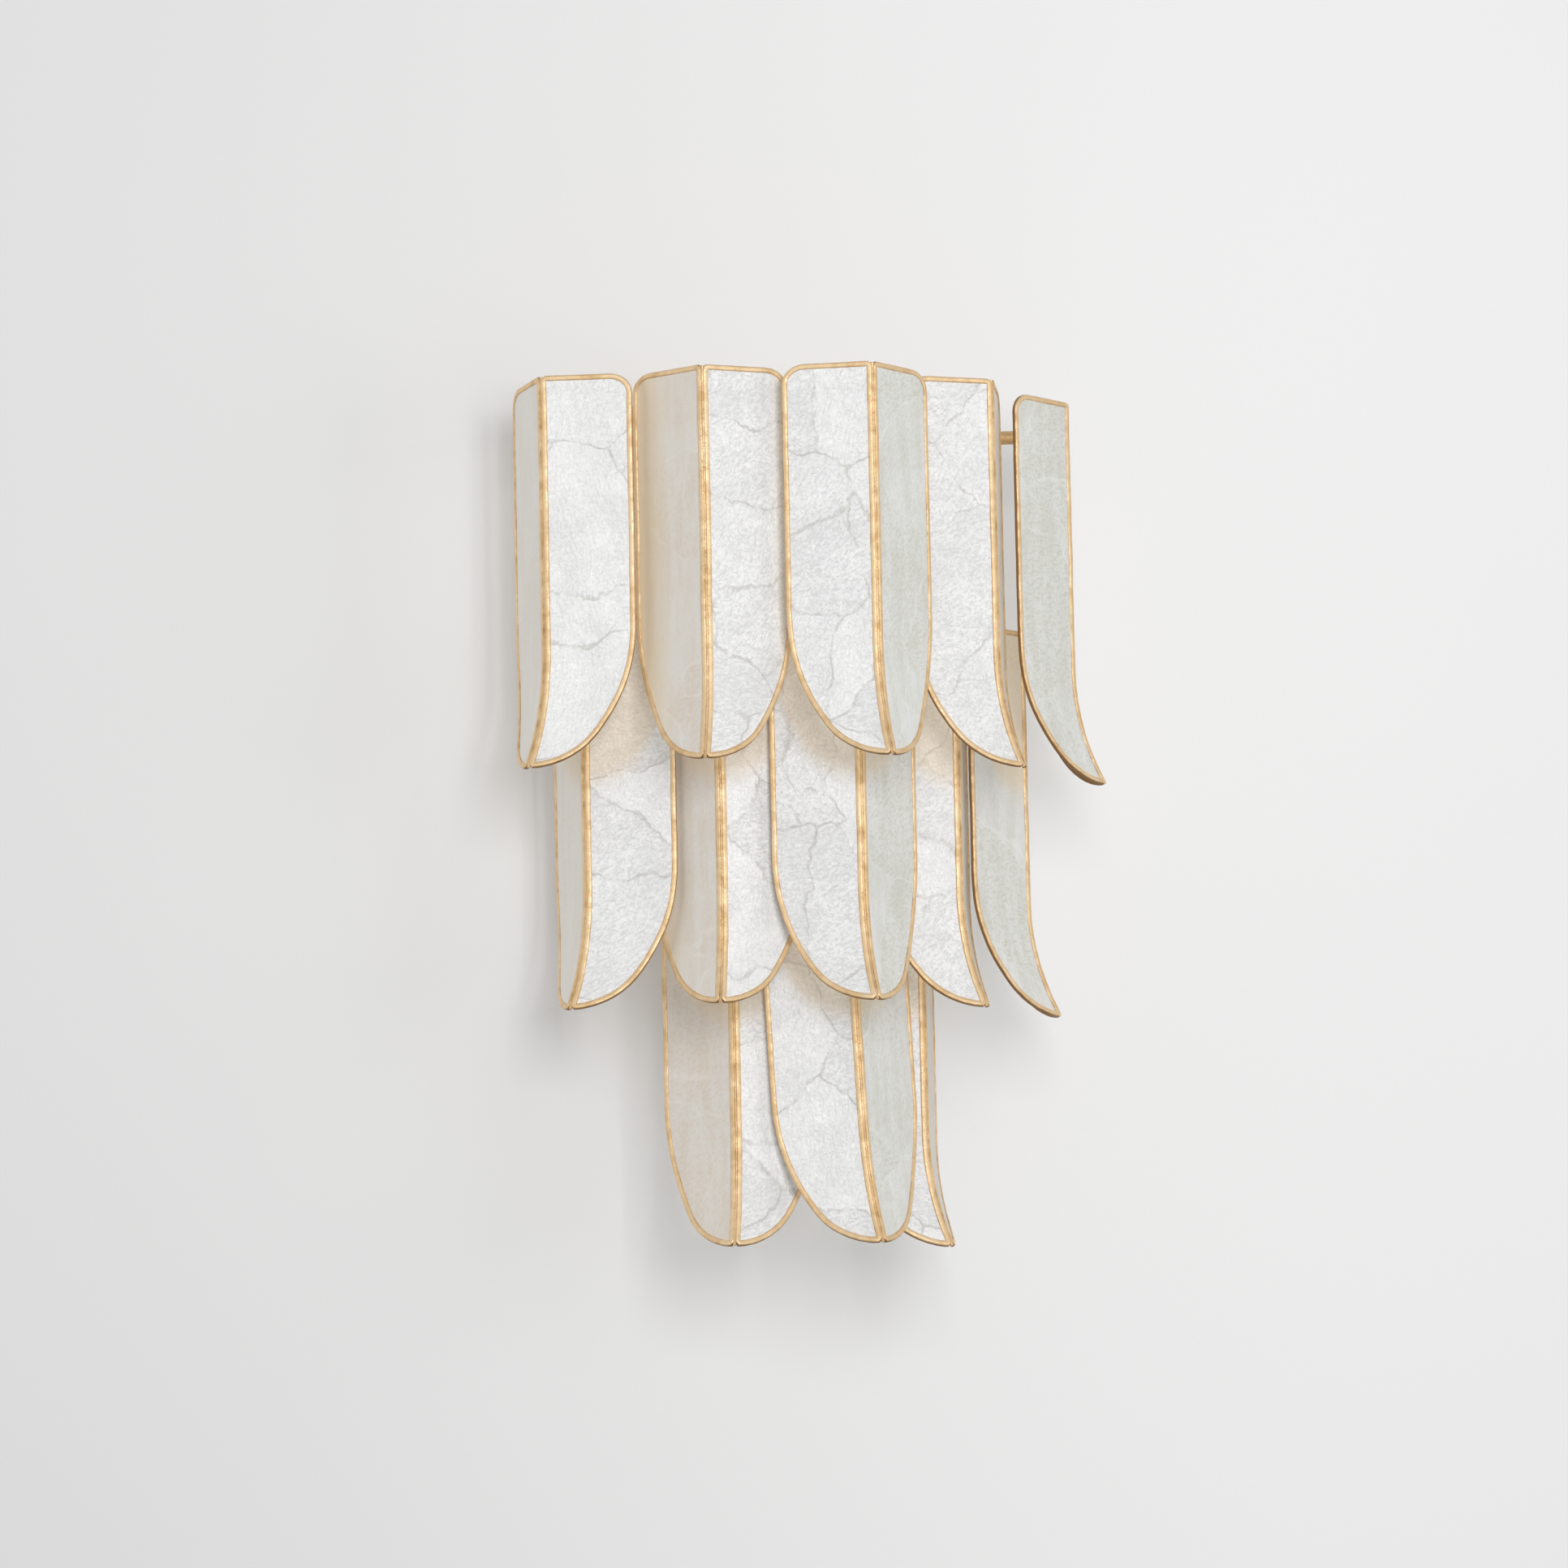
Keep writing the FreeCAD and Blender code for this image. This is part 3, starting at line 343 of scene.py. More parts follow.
class ShellPattern:
    """Shader node group with the marks of laminated capiz shell, laid out in metres on the flat shell."""

    # Scale and detail of a noise, and how far it shifts places.
    WARP = (36.0, 2.0, 24*MM)
    JAGS = (300.0, 3.0, 3.2*MM)
    SLIGHT = (60.0, 2.0, 6*MM)
    # Where there are three scales, they go across, along and through a shell.
    CELLS = (12.0, 15.0, 1.0)
    VEIN_EDGES = (0.002, 0.015)
    FADING_SCALE = 60.0
    FADING_EDGES = (0.36, 0.60)
    FAINTEST_VEIN = 0.15
    SILK_SCALE = (600.0, 170.0, 150.0)
    SILK_TURN = (1.9, -0.3)
    CRUMPLE_SCALE = 480.0
    CLOUD_SCALE = 34.0
    GRAIN_SCALE = (130.0, 16.0, 16.0)

    def __init__(self) -> None:
        """Build the group."""
        marks = ("Veins", "Tone", "Clouds", "Silk", "Crumple", "Grain")
        group, build = new_group("capiz", {"Vector": None}, dict.fromkeys(marks, "NodeSocketFloat"))
        self.group = group
        place = build.add("NodeGroupInput").outputs["Vector"]
        leave = build.add("NodeGroupOutput")
        jagged = self._bend(build, self._bend(build, place, *self.WARP), *self.JAGS)
        spread = build.add("ShaderNodeMapping", Vector=jagged, Scale=self.CELLS).outputs[0]
        cells = build.add("ShaderNodeTexVoronoi", {"feature": "F1"}, Vector=spread, Scale=1.0, Randomness=1.0)
        edges = build.add("ShaderNodeTexVoronoi", {"feature": "DISTANCE_TO_EDGE"}, Vector=spread, Scale=1.0,
                          Randomness=1.0)
        fading = build.noise(place, self.FADING_SCALE, 3.0, 0.6).outputs[0]
        fading = build.ramp(fading, *self.FADING_EDGES, self.FAINTEST_VEIN, 1.0)
        veins = build.ramp(edges.outputs["Distance"], *self.VEIN_EDGES, 1.0, 0.0)
        veins = build.maths("MULTIPLY", veins, fading)
        tone = build.add("ShaderNodeSeparateColor", i0=cells.outputs["Color"]).outputs[0]
        slight = self._bend(build, place, *self.SLIGHT)
        turned = build.add("ShaderNodeVectorRotate", {"rotation_type": "Z_AXIS"}, Vector=slight,
                           Angle=build.maths("MULTIPLY_ADD", tone, *self.SILK_TURN))
        stretched = build.add("ShaderNodeMapping", Vector=turned.outputs[0], Scale=self.SILK_SCALE)
        silk = build.noise(stretched.outputs[0], 1.0, 4.0, 0.62).outputs[0]
        crumple = build.noise(slight, self.CRUMPLE_SCALE, 5.0, 0.62, 0.6).outputs[0]
        clouds = build.noise(place, self.CLOUD_SCALE, 4.0, 0.6).outputs[0]
        upright = build.add("ShaderNodeMapping", Vector=slight, Scale=self.GRAIN_SCALE).outputs[0]
        grain = build.noise(upright, 1.0, 3.0, 0.55).outputs[0]
        build.fill(leave, Veins=veins, Tone=tone, Clouds=clouds, Silk=silk, Crumple=crumple, Grain=grain)

    @staticmethod
    def _bend(build: NodeBuilder, place: object, scale: float, detail: float, amount: float) -> object:
        """Shift places by a noise, up to an amount in metres, so that what is drawn on them is irregular."""
        wander = build.noise(place, scale, detail, 0.55).outputs["Color"]
        return build.add("ShaderNodeVectorMath", {"operation": "MULTIPLY_ADD"}, i0=wander,
                         i1=(amount, amount, 0.0), i2=place).outputs[0]

    def use(self, build: NodeBuilder) -> Node:
        """Place the group in a material, on the UV map of the shells."""
        place = build.add("ShaderNodeUVMap", {"uv_map": "shell"}).outputs[0]
        return build.add("ShaderNodeGroup", {"node_tree": self.group}, Vector=place)


@dataclass(frozen=True)
class ShellFinish:
    """One copy of laminated capiz shell: its colours, how strongly it is marked, and its sheen. The copies
    carry painted light and shade. One is the lit shell, and the others are the same shell painted darker as it
    turns from the lamps.
    """

    name: str
    pearl: Colour
    cloud: Colour
    vein: Colour
    # Colour of the painted reflection beside a lapping petal, and of the painted shadow below the tier above.
    painted_reflection_and_shadow: Colour = (0.84, 0.67, 0.44)
    cloud_edges: Range = (0.38, 0.66)
    cloud_share: float = 0.40
    tone_share: float = 0.24
    silk_share: float = 0.9
    fine_edges: Range = (0.87, 1.12)
    plain_edges: Range = (0.1, 0.8)
    plainest: float = 0.4
    grain_edges: Range = (0.34, 0.66)
    vein_share: float = 0.5
    vein_depth: float = 0.35
    relief_height: float = 1.1*MM
    marks: float = 1.0
    grain: float = 0.0
    relief: float = 0.5
    roughness: float = 0.32
    sheen: float = 1.0
    light_through: float = 0.835
    shadow_tint: Colour = (1.0, 0.995, 0.985)

    def make(self, pattern: ShellPattern) -> Material:
        """Build the material.

        Args:
            pattern: node group with the marks of the shell.

        Returns:
            The material.
        """
        material, build, shader = new_material(self.name)
        marks = pattern.use(build).outputs
        cloudy = build.maths("MULTIPLY", build.ramp(marks["Clouds"], *self.cloud_edges), self.cloud_share)
        cloudy = build.maths("MULTIPLY_ADD", marks["Tone"], self.tone_share, cloudy)
        fine = build.maths("MULTIPLY_ADD", marks["Silk"], self.silk_share, marks["Crumple"])
        fine = build.ramp(fine, *self.fine_edges)
        fine = build.maths("MULTIPLY", fine, build.ramp(marks["Tone"], *self.plain_edges, self.plainest))
        cloudy = build.maths("MULTIPLY", build.maths("ADD", cloudy, fine), self.marks)
        cloudy = build.maths("MULTIPLY_ADD", build.ramp(marks["Grain"], *self.grain_edges), self.grain, cloudy)
        colour = build.blend(cloudy, self.pearl, self.cloud)
        veins = build.maths("MULTIPLY", marks["Veins"], self.vein_share*self.marks)
        colour = build.blend(veins, colour, self.vein)
        # Painted reflection and shadow: the attribute lap tints the shell warm beside a lapping petal and below
        # the tier above.
        lap = build.add("ShaderNodeAttribute", {"attribute_name": "lap"}).outputs["Fac"]
        colour = build.blend(build.ramp(lap, 0.0, 1.0), colour, self.painted_reflection_and_shadow)
        height = build.maths("MULTIPLY_ADD", marks["Silk"], self.silk_share, marks["Crumple"])
        height = build.maths("SUBTRACT", height, build.maths("MULTIPLY", marks["Veins"], self.vein_depth))
        bump = build.add("ShaderNodeBump", Strength=self.relief, Distance=self.relief_height, Height=height)
        build.fill(shader, Base_Color=colour, Normal=bump.outputs[0], Roughness=self.roughness,
                   Specular_IOR_Level=self.sheen)
        self._let_light_through(material, build, shader)
        return material

    def _let_light_through(self, material: Material, build: NodeBuilder, shader: Node) -> None:
        """Thin shell stops only part of the light, so its shadows are pale.

        Args:
            material: the shell's material.
            build: a builder for its nodes.
            shader: its shader.
        """
        clear = build.add("ShaderNodeBsdfTransparent", Color=self.shadow_tint)
        shadow = build.add("ShaderNodeLightPath").outputs["Is Shadow Ray"]
        share = build.maths("MULTIPLY", shadow, self.light_through)
        mix = build.add("ShaderNodeMixShader", i0=share, i1=shader.outputs[0], i2=clear.outputs[0])
        set_surface(material, build, mix)


# Angles from straight ahead, past which a half takes another copy of the shell, with painted shade for the way
# it turns from the lamps.
TURNED = math.radians(12)
SIDEWAYS = math.radians(45)
FAR_ROUND = math.radians(75)


class PaintedFacingShade(Enum):
    """Lit and shaded copies of one shell: painted light and shade, chosen for a half by the way it faces the
    lamps.
    """

    # Painted light and shade: the white copy is the lit shell, and the others are darker, warmer or greener for
    # halves turned from the lamps.
    WHITE = ShellFinish("white_capiz", (0.965, 0.965, 0.96), (0.76, 0.76, 0.76), (0.50, 0.48, 0.43), relief=0.8)
    OAT = ShellFinish("oat_capiz", (0.87, 0.85, 0.80), (0.80, 0.75, 0.66), (0.95, 0.92, 0.85),
                      marks=0.4, grain=0.4, relief=0.12, roughness=0.42, sheen=0.6)
    HONEY = ShellFinish("honey_capiz", (0.755, 0.735, 0.69), (0.69, 0.60, 0.50), (0.93, 0.90, 0.83),
                        marks=0.45, grain=0.4, relief=0.12, roughness=0.42, sheen=0.6)
    SAGE = ShellFinish("sage_capiz", (0.80, 0.80, 0.79), (0.63, 0.63, 0.56), (0.92, 0.92, 0.88),
                       marks=0.6, grain=0.35, relief=0.16, roughness=0.42, sheen=0.6)

    @classmethod
    def facing(cls, azimuth: float) -> "PaintedFacingShade":
        """Choose the painted lit or shaded copy of the shell for a half from the way it faces, in radians from
        straight ahead.

        Args:
            azimuth: the way that it faces, above 0 to the right.

        Returns:
            Its painted lit or shaded copy.
        """
        if abs(azimuth) > SIDEWAYS:
            return cls.OAT if abs(azimuth) > FAR_ROUND else cls.HONEY
        return cls.SAGE if azimuth > TURNED else cls.WHITE


@dataclass(frozen=True)
class PlainFinish:
    """A simple surface: slightly uneven colour, with a fine relief."""

    name: str
    colour: Colour
    shade: Colour
    roughness: float = 0.5
    metallic: float = 0.0
    scale: float = 60.0
    relief: float = 0.1
    relief_height: float = 0.4*MM
    clear: float = 0.0
    specks: float = 0.4
    dullness: float = 0.15

    def make(self, grain: Grain) -> Material:
        """Build the material.

        Args:
            grain: shared node groups.

        Returns:
            The material.
        """
        material, build, shader = new_material(self.name)
        place = build.add("ShaderNodeTexCoord").outputs["Object"]
        tone = grain.use(build, place, self.colour, self.shade, self.scale, self.specks)
        rough = build.maths("MULTIPLY_ADD", tone.outputs["Mask"], self.dullness, self.roughness)
        bump = build.add("ShaderNodeBump", Strength=self.relief, Distance=self.relief_height,
                         Height=tone.outputs["Height"])
        build.fill(shader, Base_Color=tone.outputs["Color"], Metallic=self.metallic, Roughness=rough,
                   Normal=bump.outputs[0], Transmission_Weight=self.clear)
        return material


# ---------------------------------------------------------------- the petals

@dataclass(frozen=True)
class PetalForm:
    """Sizes of one petal, the same as the CAD part's, in metres.

    A petal has its own frame: the ridge at X = 0, its top at Z = 0, and -Y outwards.
    """

    length: float = 232*MM
    width: float = 54*MM
    fold: float = math.radians(32)
    corner: float = 12*MM
    tip: float = 33*MM
    curve: float = 88*MM
    flare_height: float = 70*MM
    flare_reach: float = 17.5*MM
    shell: float = 1.6*MM
    frame: float = 3.2*MM

    @property
    def span(self) -> float:
        """Half width, seen from the front."""
        return self.width*math.cos(self.fold)

    @property
    def side_end(self) -> float:
        """Height where the upright side ends."""
        return -(self.length - self.curve)

    @property
    def tip_z(self) -> float:
        """Height of the tip arc's centre."""
        return -self.length + self.tip

    @property
    def side_turn(self) -> float:
        """Angle that the side arc takes up."""
        return math.atan2(self.side_end - self.tip_z, self.side_radius - self.span)

    @property
    def side_radius(self) -> float:
        """Radius of the arc between the upright side and the tip arc."""
        rise = self.curve - self.tip
        return (self.span**2 + rise**2 - self.tip**2)/(2*(self.span - self.tip))

    @property
    def curl_radius(self) -> float:
        """Radius of the outward curl."""
        run = self.flare_reach*math.cos(self.fold)
        return (self.flare_height**2 + run**2)/(2*run)

    def flare(self, z: float) -> float:
        """How far the sheet has curled out at a height."""
        radius = self.curl_radius
        return radius - math.sqrt(radius**2 - min(self._curled(z), radius)**2)

    def slope(self, z: float) -> float:
        """Angle of the curl at a height."""
        return math.asin(min(1.0, self._curled(z)/self.curl_radius))

    def _curled(self, z: float) -> float:
        """How far a height lies below the start of the curl."""
        return max(0.0, -z - (self.length - self.flare_height))

    def outward(self, side: Side, z: float) -> Vector:
        """Direction that a half faces at a height.

        Args:
            side: which half.
            z: the height.

        Returns:
            The direction, one long.
        """
        turn = self.slope(z)
        flat = Vector((side.value*math.sin(self.fold), -math.cos(self.fold), 0.0))
        return (flat*math.cos(turn) + Vector((0, 0, math.sin(turn)))).normalized()

    def point(self, side: Side, x: float, z: float, lift: float = 0.0) -> Vector:
        """Point of a half, from where it is seen from the front.

        Args:
            side: which half.
            x: distance from the ridge, seen from the front.
            z: height, from 0 at the top down.
            lift: distance in front of the middle of the sheet.

        Returns:
            The point in the petal's own frame.
        """
        curl = self.flare(z)
        across = (x - curl*math.sin(self.fold))/math.cos(self.fold)
        middle = Vector((side.value*x, across*math.sin(self.fold) - curl*math.cos(self.fold), z))
        return middle + self.outward(side, z)*lift

    def foot(self, x: float) -> float:
        """Height of the rounded bottom at a distance from the ridge, seen from the front.

        Args:
            x: distance from the ridge.

        Returns:
            The height, below 0.
        """
        span, tip, side = self.span, self.tip, self.side_radius
        if x < tip*math.cos(self.side_turn):
            return self.tip_z - math.sqrt(tip**2 - x**2)
        return self.side_end - math.sqrt(max(0.0, side**2 - (min(x, span) - span + side)**2))

    def edge(self, z: float, inset: float) -> float:
        """Front-view half width at a height, with the outline drawn in by an inset.

        Args:
            z: the height.
            inset: how far the outline is drawn in.

        Returns:
            Distance from the ridge to the edge.
        """
        span, tip, side, side_end = self.span, self.tip, self.side_radius, self.side_end
        if z > -self.corner:
            rise = min(self.corner - inset, z + self.corner)
            return span - self.corner + math.sqrt(max(0.0, (self.corner - inset)**2 - rise**2))
        if z > side_end:
            return span - inset
        if z > side_end - (side - inset)*math.sin(self.side_turn):
            return span - side + math.sqrt((side - inset)**2 - (side_end - z)**2)
        return math.sqrt(max(0.0, (tip - inset)**2 - (self.tip_z - z)**2))


@dataclass(frozen=True)
class Layout:
    """Where the petals stand, the same as in the CAD part."""

    pitch: float = 138*MM
    arm_drop: float = 20*MM
    radius: dict[Tier, float] = field(default_factory=lambda: dict(zip(Tier, (192*MM, 162*MM, 138*MM))))
    spread: dict[Tier, float] = field(default_factory=lambda: dict(zip(Tier, (1.89, 1.57, 1.315))))
    clearance: dict[Tier, float] = field(default_factory=lambda: dict(zip(Tier, (6.3*MM, 1.3*MM, 0.9*MM))))
    lean: float = math.radians(2.8)
    hoop_inset: float = 52*MM

    def steps(self, tier: Tier) -> tuple[int, ...]:
        """Steps round a tier from its middle petal, from left to right."""
        return (-1, 0, 1) if tier is Tier.LOWER else (-2, -1, 0, 1, 2)

    def spacing(self, form: PetalForm, tier: Tier) -> float:
        """Angle from one petal of a tier to the next."""
        return self.spread[tier]*form.width/self.radius[tier]

    def place(self, form: PetalForm, tier: Tier, step: int) -> Matrix:
        """Matrix that carries a petal from its own frame to its place.

        Args:
            form: sizes of a petal.
            tier: which tier.
            step: steps from the tier's middle petal.

        Returns:
            The petal's matrix.
        """
        radius, angle = self.radius[tier], self.spacing(form, tier)
        if step % 2:
            edge = radius*math.cos(angle - form.fold)
            lap = form.width*math.sin(2*form.fold - angle)
            radius = (edge - lap - form.frame - self.clearance[tier])/math.cos(form.fold)
        turn = Matrix.Rotation(step*angle, 4, "Z")
        arm_z = {Tier.UPPER: self.pitch, Tier.MIDDLE: 0.0, Tier.LOWER: -self.pitch}[tier]
        stand = Matrix.Translation((0, -radius, arm_z))
        drop = Matrix.Translation((0, 0, self.arm_drop))
        lean = self.lean if tier is Tier.LOWER and step == 0 else 0.0
        return turn @ stand @ Matrix.Rotation(lean, 4, Vector((0, -1, 0))) @ drop


@dataclass(frozen=True)
class ShellPanes:
    """All the shells, each a thin curled pane with a UV map laid flat on it.

    Beside the petal that laps a shell, a painted reflection and shadow tint it warm, and shade is the strength
    of a painted warm shadow below the tier above.
    The pattern of each next shell is moved by a step, so that no two are the same.
    """

    form: PetalForm
    layout: Layout
    rows: int = 96
    columns: int = 14
    crowding: float = 0.11
    inset: float = 1.6*MM
    start: float = 1.5*MM
    narrowest: float = 0.02*MM
    crease: float = math.radians(40)
    # Width and strength of the painted reflection and shadow beside a lapping petal, and strength and depth of
    # the painted shadow below the tier above.
    lap_width: dict[Side, float] = field(default_factory=lambda: dict(zip(Side, (30*MM, 12*MM))))
    painted_reflection_and_shadow: dict[Side, float] = field(default_factory=lambda: dict(zip(Side, (0.85, 0.75))))
    shade: float = 0.5
    painted_shadow_depth: float = 15*MM
    pattern_step: Range = (0.37, 0.61)
    pattern_reach: float = 5.0

    def _heights(self) -> list[float]:
        """Heights of the rows from the top down, closer together in the curves.

        Returns:
            One height for each row.
        """
        form, inset = self.form, self.inset
        top, low = -inset, form.tip_z - math.sqrt((form.tip - inset)**2 - self.start**2)
        heights = []
        for row in range(self.rows + 1):
            t = row/self.rows
            eased = t - self.crowding*math.sin(2*math.pi*t)
            heights.append(top + (low - top)*eased)
        return heights

    def _painted_tint(self, x: float, z: float, side: Side, painted_reflection_and_shadow: float, shaded: bool) -> float:
        """How strongly the painted reflection and shadow tint a shell at a point: beside the petal that laps
        it, and below the tier above it.

        Args:
            x: distance from the ridge.
            z: height of the point.
            side: which half.
            painted_reflection_and_shadow: strength of the painted tint at the lapped side.
            shaded: whether a tier hangs above.

        Returns:
            The strength of the painted tint, from 0 to 1.
        """
        width = self.lap_width[side]
        # Painted reflection and shadow along the side that the next petal laps.
        beside = painted_reflection_and_shadow*max(0.0, 1.0 - (self.form.span - x)/width)
        if not shaded:
            return beside
        # Painted shadow below the feet of the tier above.
        below = self.form.foot(x) + self.layout.pitch - z
        return max(beside, self.shade*min(1.0, max(0.0, 1.0 - below/self.painted_shadow_depth)))

    def _faces(self, side: Side) -> list[tuple[int, ...]]:
        """Faces of a pane: its front, its back and the strip round its edge.

        Args:
            side: which half. A left pane is a right one turned over, so its faces run the other way.

        Returns:
            The faces, each with the numbers of its corners.
        """
        rows, columns, wide = self.rows, self.columns, self.columns + 1
        layer = (rows + 1)*wide
        faces: list[tuple[int, ...]] = []
        for row in range(rows):
            for column in range(columns):
                a = row*wide + column
                quad = (a, a + wide, a + wide + 1, a + 1)
                faces += [quad, tuple(layer + i for i in reversed(quad))]
        ring = list(range(wide)) + [row*wide + columns for row in range(1, rows + 1)]
        ring += [rows*wide + i for i in range(columns - 1, -1, -1)]
        ring += [row*wide for row in range(rows - 1, 0, -1)]
        faces += [(a, b, layer + b, layer + a) for a, b in zip(ring, ring[1:] + ring[:1])]
        return [face[::-1] for face in faces] if side is Side.LEFT else faces

    def make_pane(self, name: str, place: Matrix, side: Side, seed: int, painted_reflection_and_shadow: float,
                  shaded: bool) -> Object:
        """Build one shell.

        Args:
            name: the piece's name.
            place: matrix of its petal.
            side: which half of the petal.
            seed: moves the pattern, so that no two shells are the same.
            painted_reflection_and_shadow: strength of the painted reflection and shadow along its side, where
                the next petal laps it.
            shaded: whether the painted shadow of a tier above is laid on it.

        Returns:
            The finished piece.
        """
        form, start = self.form, self.start
        vertices: list[Vector] = []
        flat: list[Point] = []
        for lift in (form.shell/2, -form.shell/2):
            for z in self._heights():
                end = max(start + self.narrowest, form.edge(z, self.inset))
                for column in range(self.columns + 1):
                    x = start + (end - start)*column/self.columns
                    vertices.append(place @ form.point(side, x, z, lift))
                    flat.append((x/math.cos(form.fold), z))
        mesh = bpy.data.meshes.new(name)
        mesh.from_pydata([tuple(v) for v in vertices], [], self._faces(side))
        # Strength of the painted reflection and shadow at each corner, kept in the attribute lap.
        lap = [self._painted_tint(u*math.cos(form.fold), v, side, painted_reflection_and_shadow, shaded) for u, v in flat]
        mesh.attributes.new("lap", "FLOAT", "POINT").data.foreach_set("value", lap)
        layer_uv = mesh.uv_layers.new(name="shell")
        shift = [seed*step % self.pattern_reach for step in self.pattern_step]
        for loop in mesh.loops:
            u, v = flat[loop.vertex_index]
            layer_uv.data[loop.index].uv = (u*side.value + shift[0], v + shift[1])
        mesh.shade_smooth()
        mesh.set_sharp_from_angle(angle=self.crease)
        return add_object(name, mesh)

    def _painted_side_tint(self, tier: Tier, step: int, side: Side) -> float:
        """Strength of the painted reflection and shadow along a half's side, which stands in for light from the
        lit back of the petal that laps it.

        Args:
            tier: its tier.
            step: steps from the tier's middle petal.
            side: which half.

        Returns:
            The strength, 0 where nothing laps it.
        """
        lapped = step % 2 == 1 and step + side.value in self.layout.steps(tier)
        if not lapped or (side is Side.LEFT and step > 0):
            return 0.0
        return self.painted_reflection_and_shadow[side]

    def build(self) -> list[str]:
        """Make every shell, dress it and set it in place of its CAD node.

        Returns:
            The names of the pieces.
        """
        pattern = ShellPattern()
        finishes = {shaded_copy: shaded_copy.value.make(pattern) for shaded_copy in PaintedFacingShade}
        names: list[str] = []
        for tier in Tier:
            for number, step in enumerate(self.layout.steps(tier), start=1):
                place = self.layout.place(self.form, tier, step)
                for side in Side:
                    node = f"{tier.value}_petal_{number}_shell_{side.name.lower()}"
                    # Painted light and shade: the colour of each half follows the way it faces the lamps.
                    azimuth = step*self.layout.spacing(self.form, tier) + side.value*self.form.fold
                    piece = self.make_pane(f"{node}_pane", place, side, len(names) + 1,
                                           self._painted_side_tint(tier, step, side), tier is not Tier.UPPER)
                    piece.data.materials.append(finishes[PaintedFacingShade.facing(azimuth)])
                    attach(piece, "root")
                    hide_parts(node)
                    names.append(piece.name)
        return names


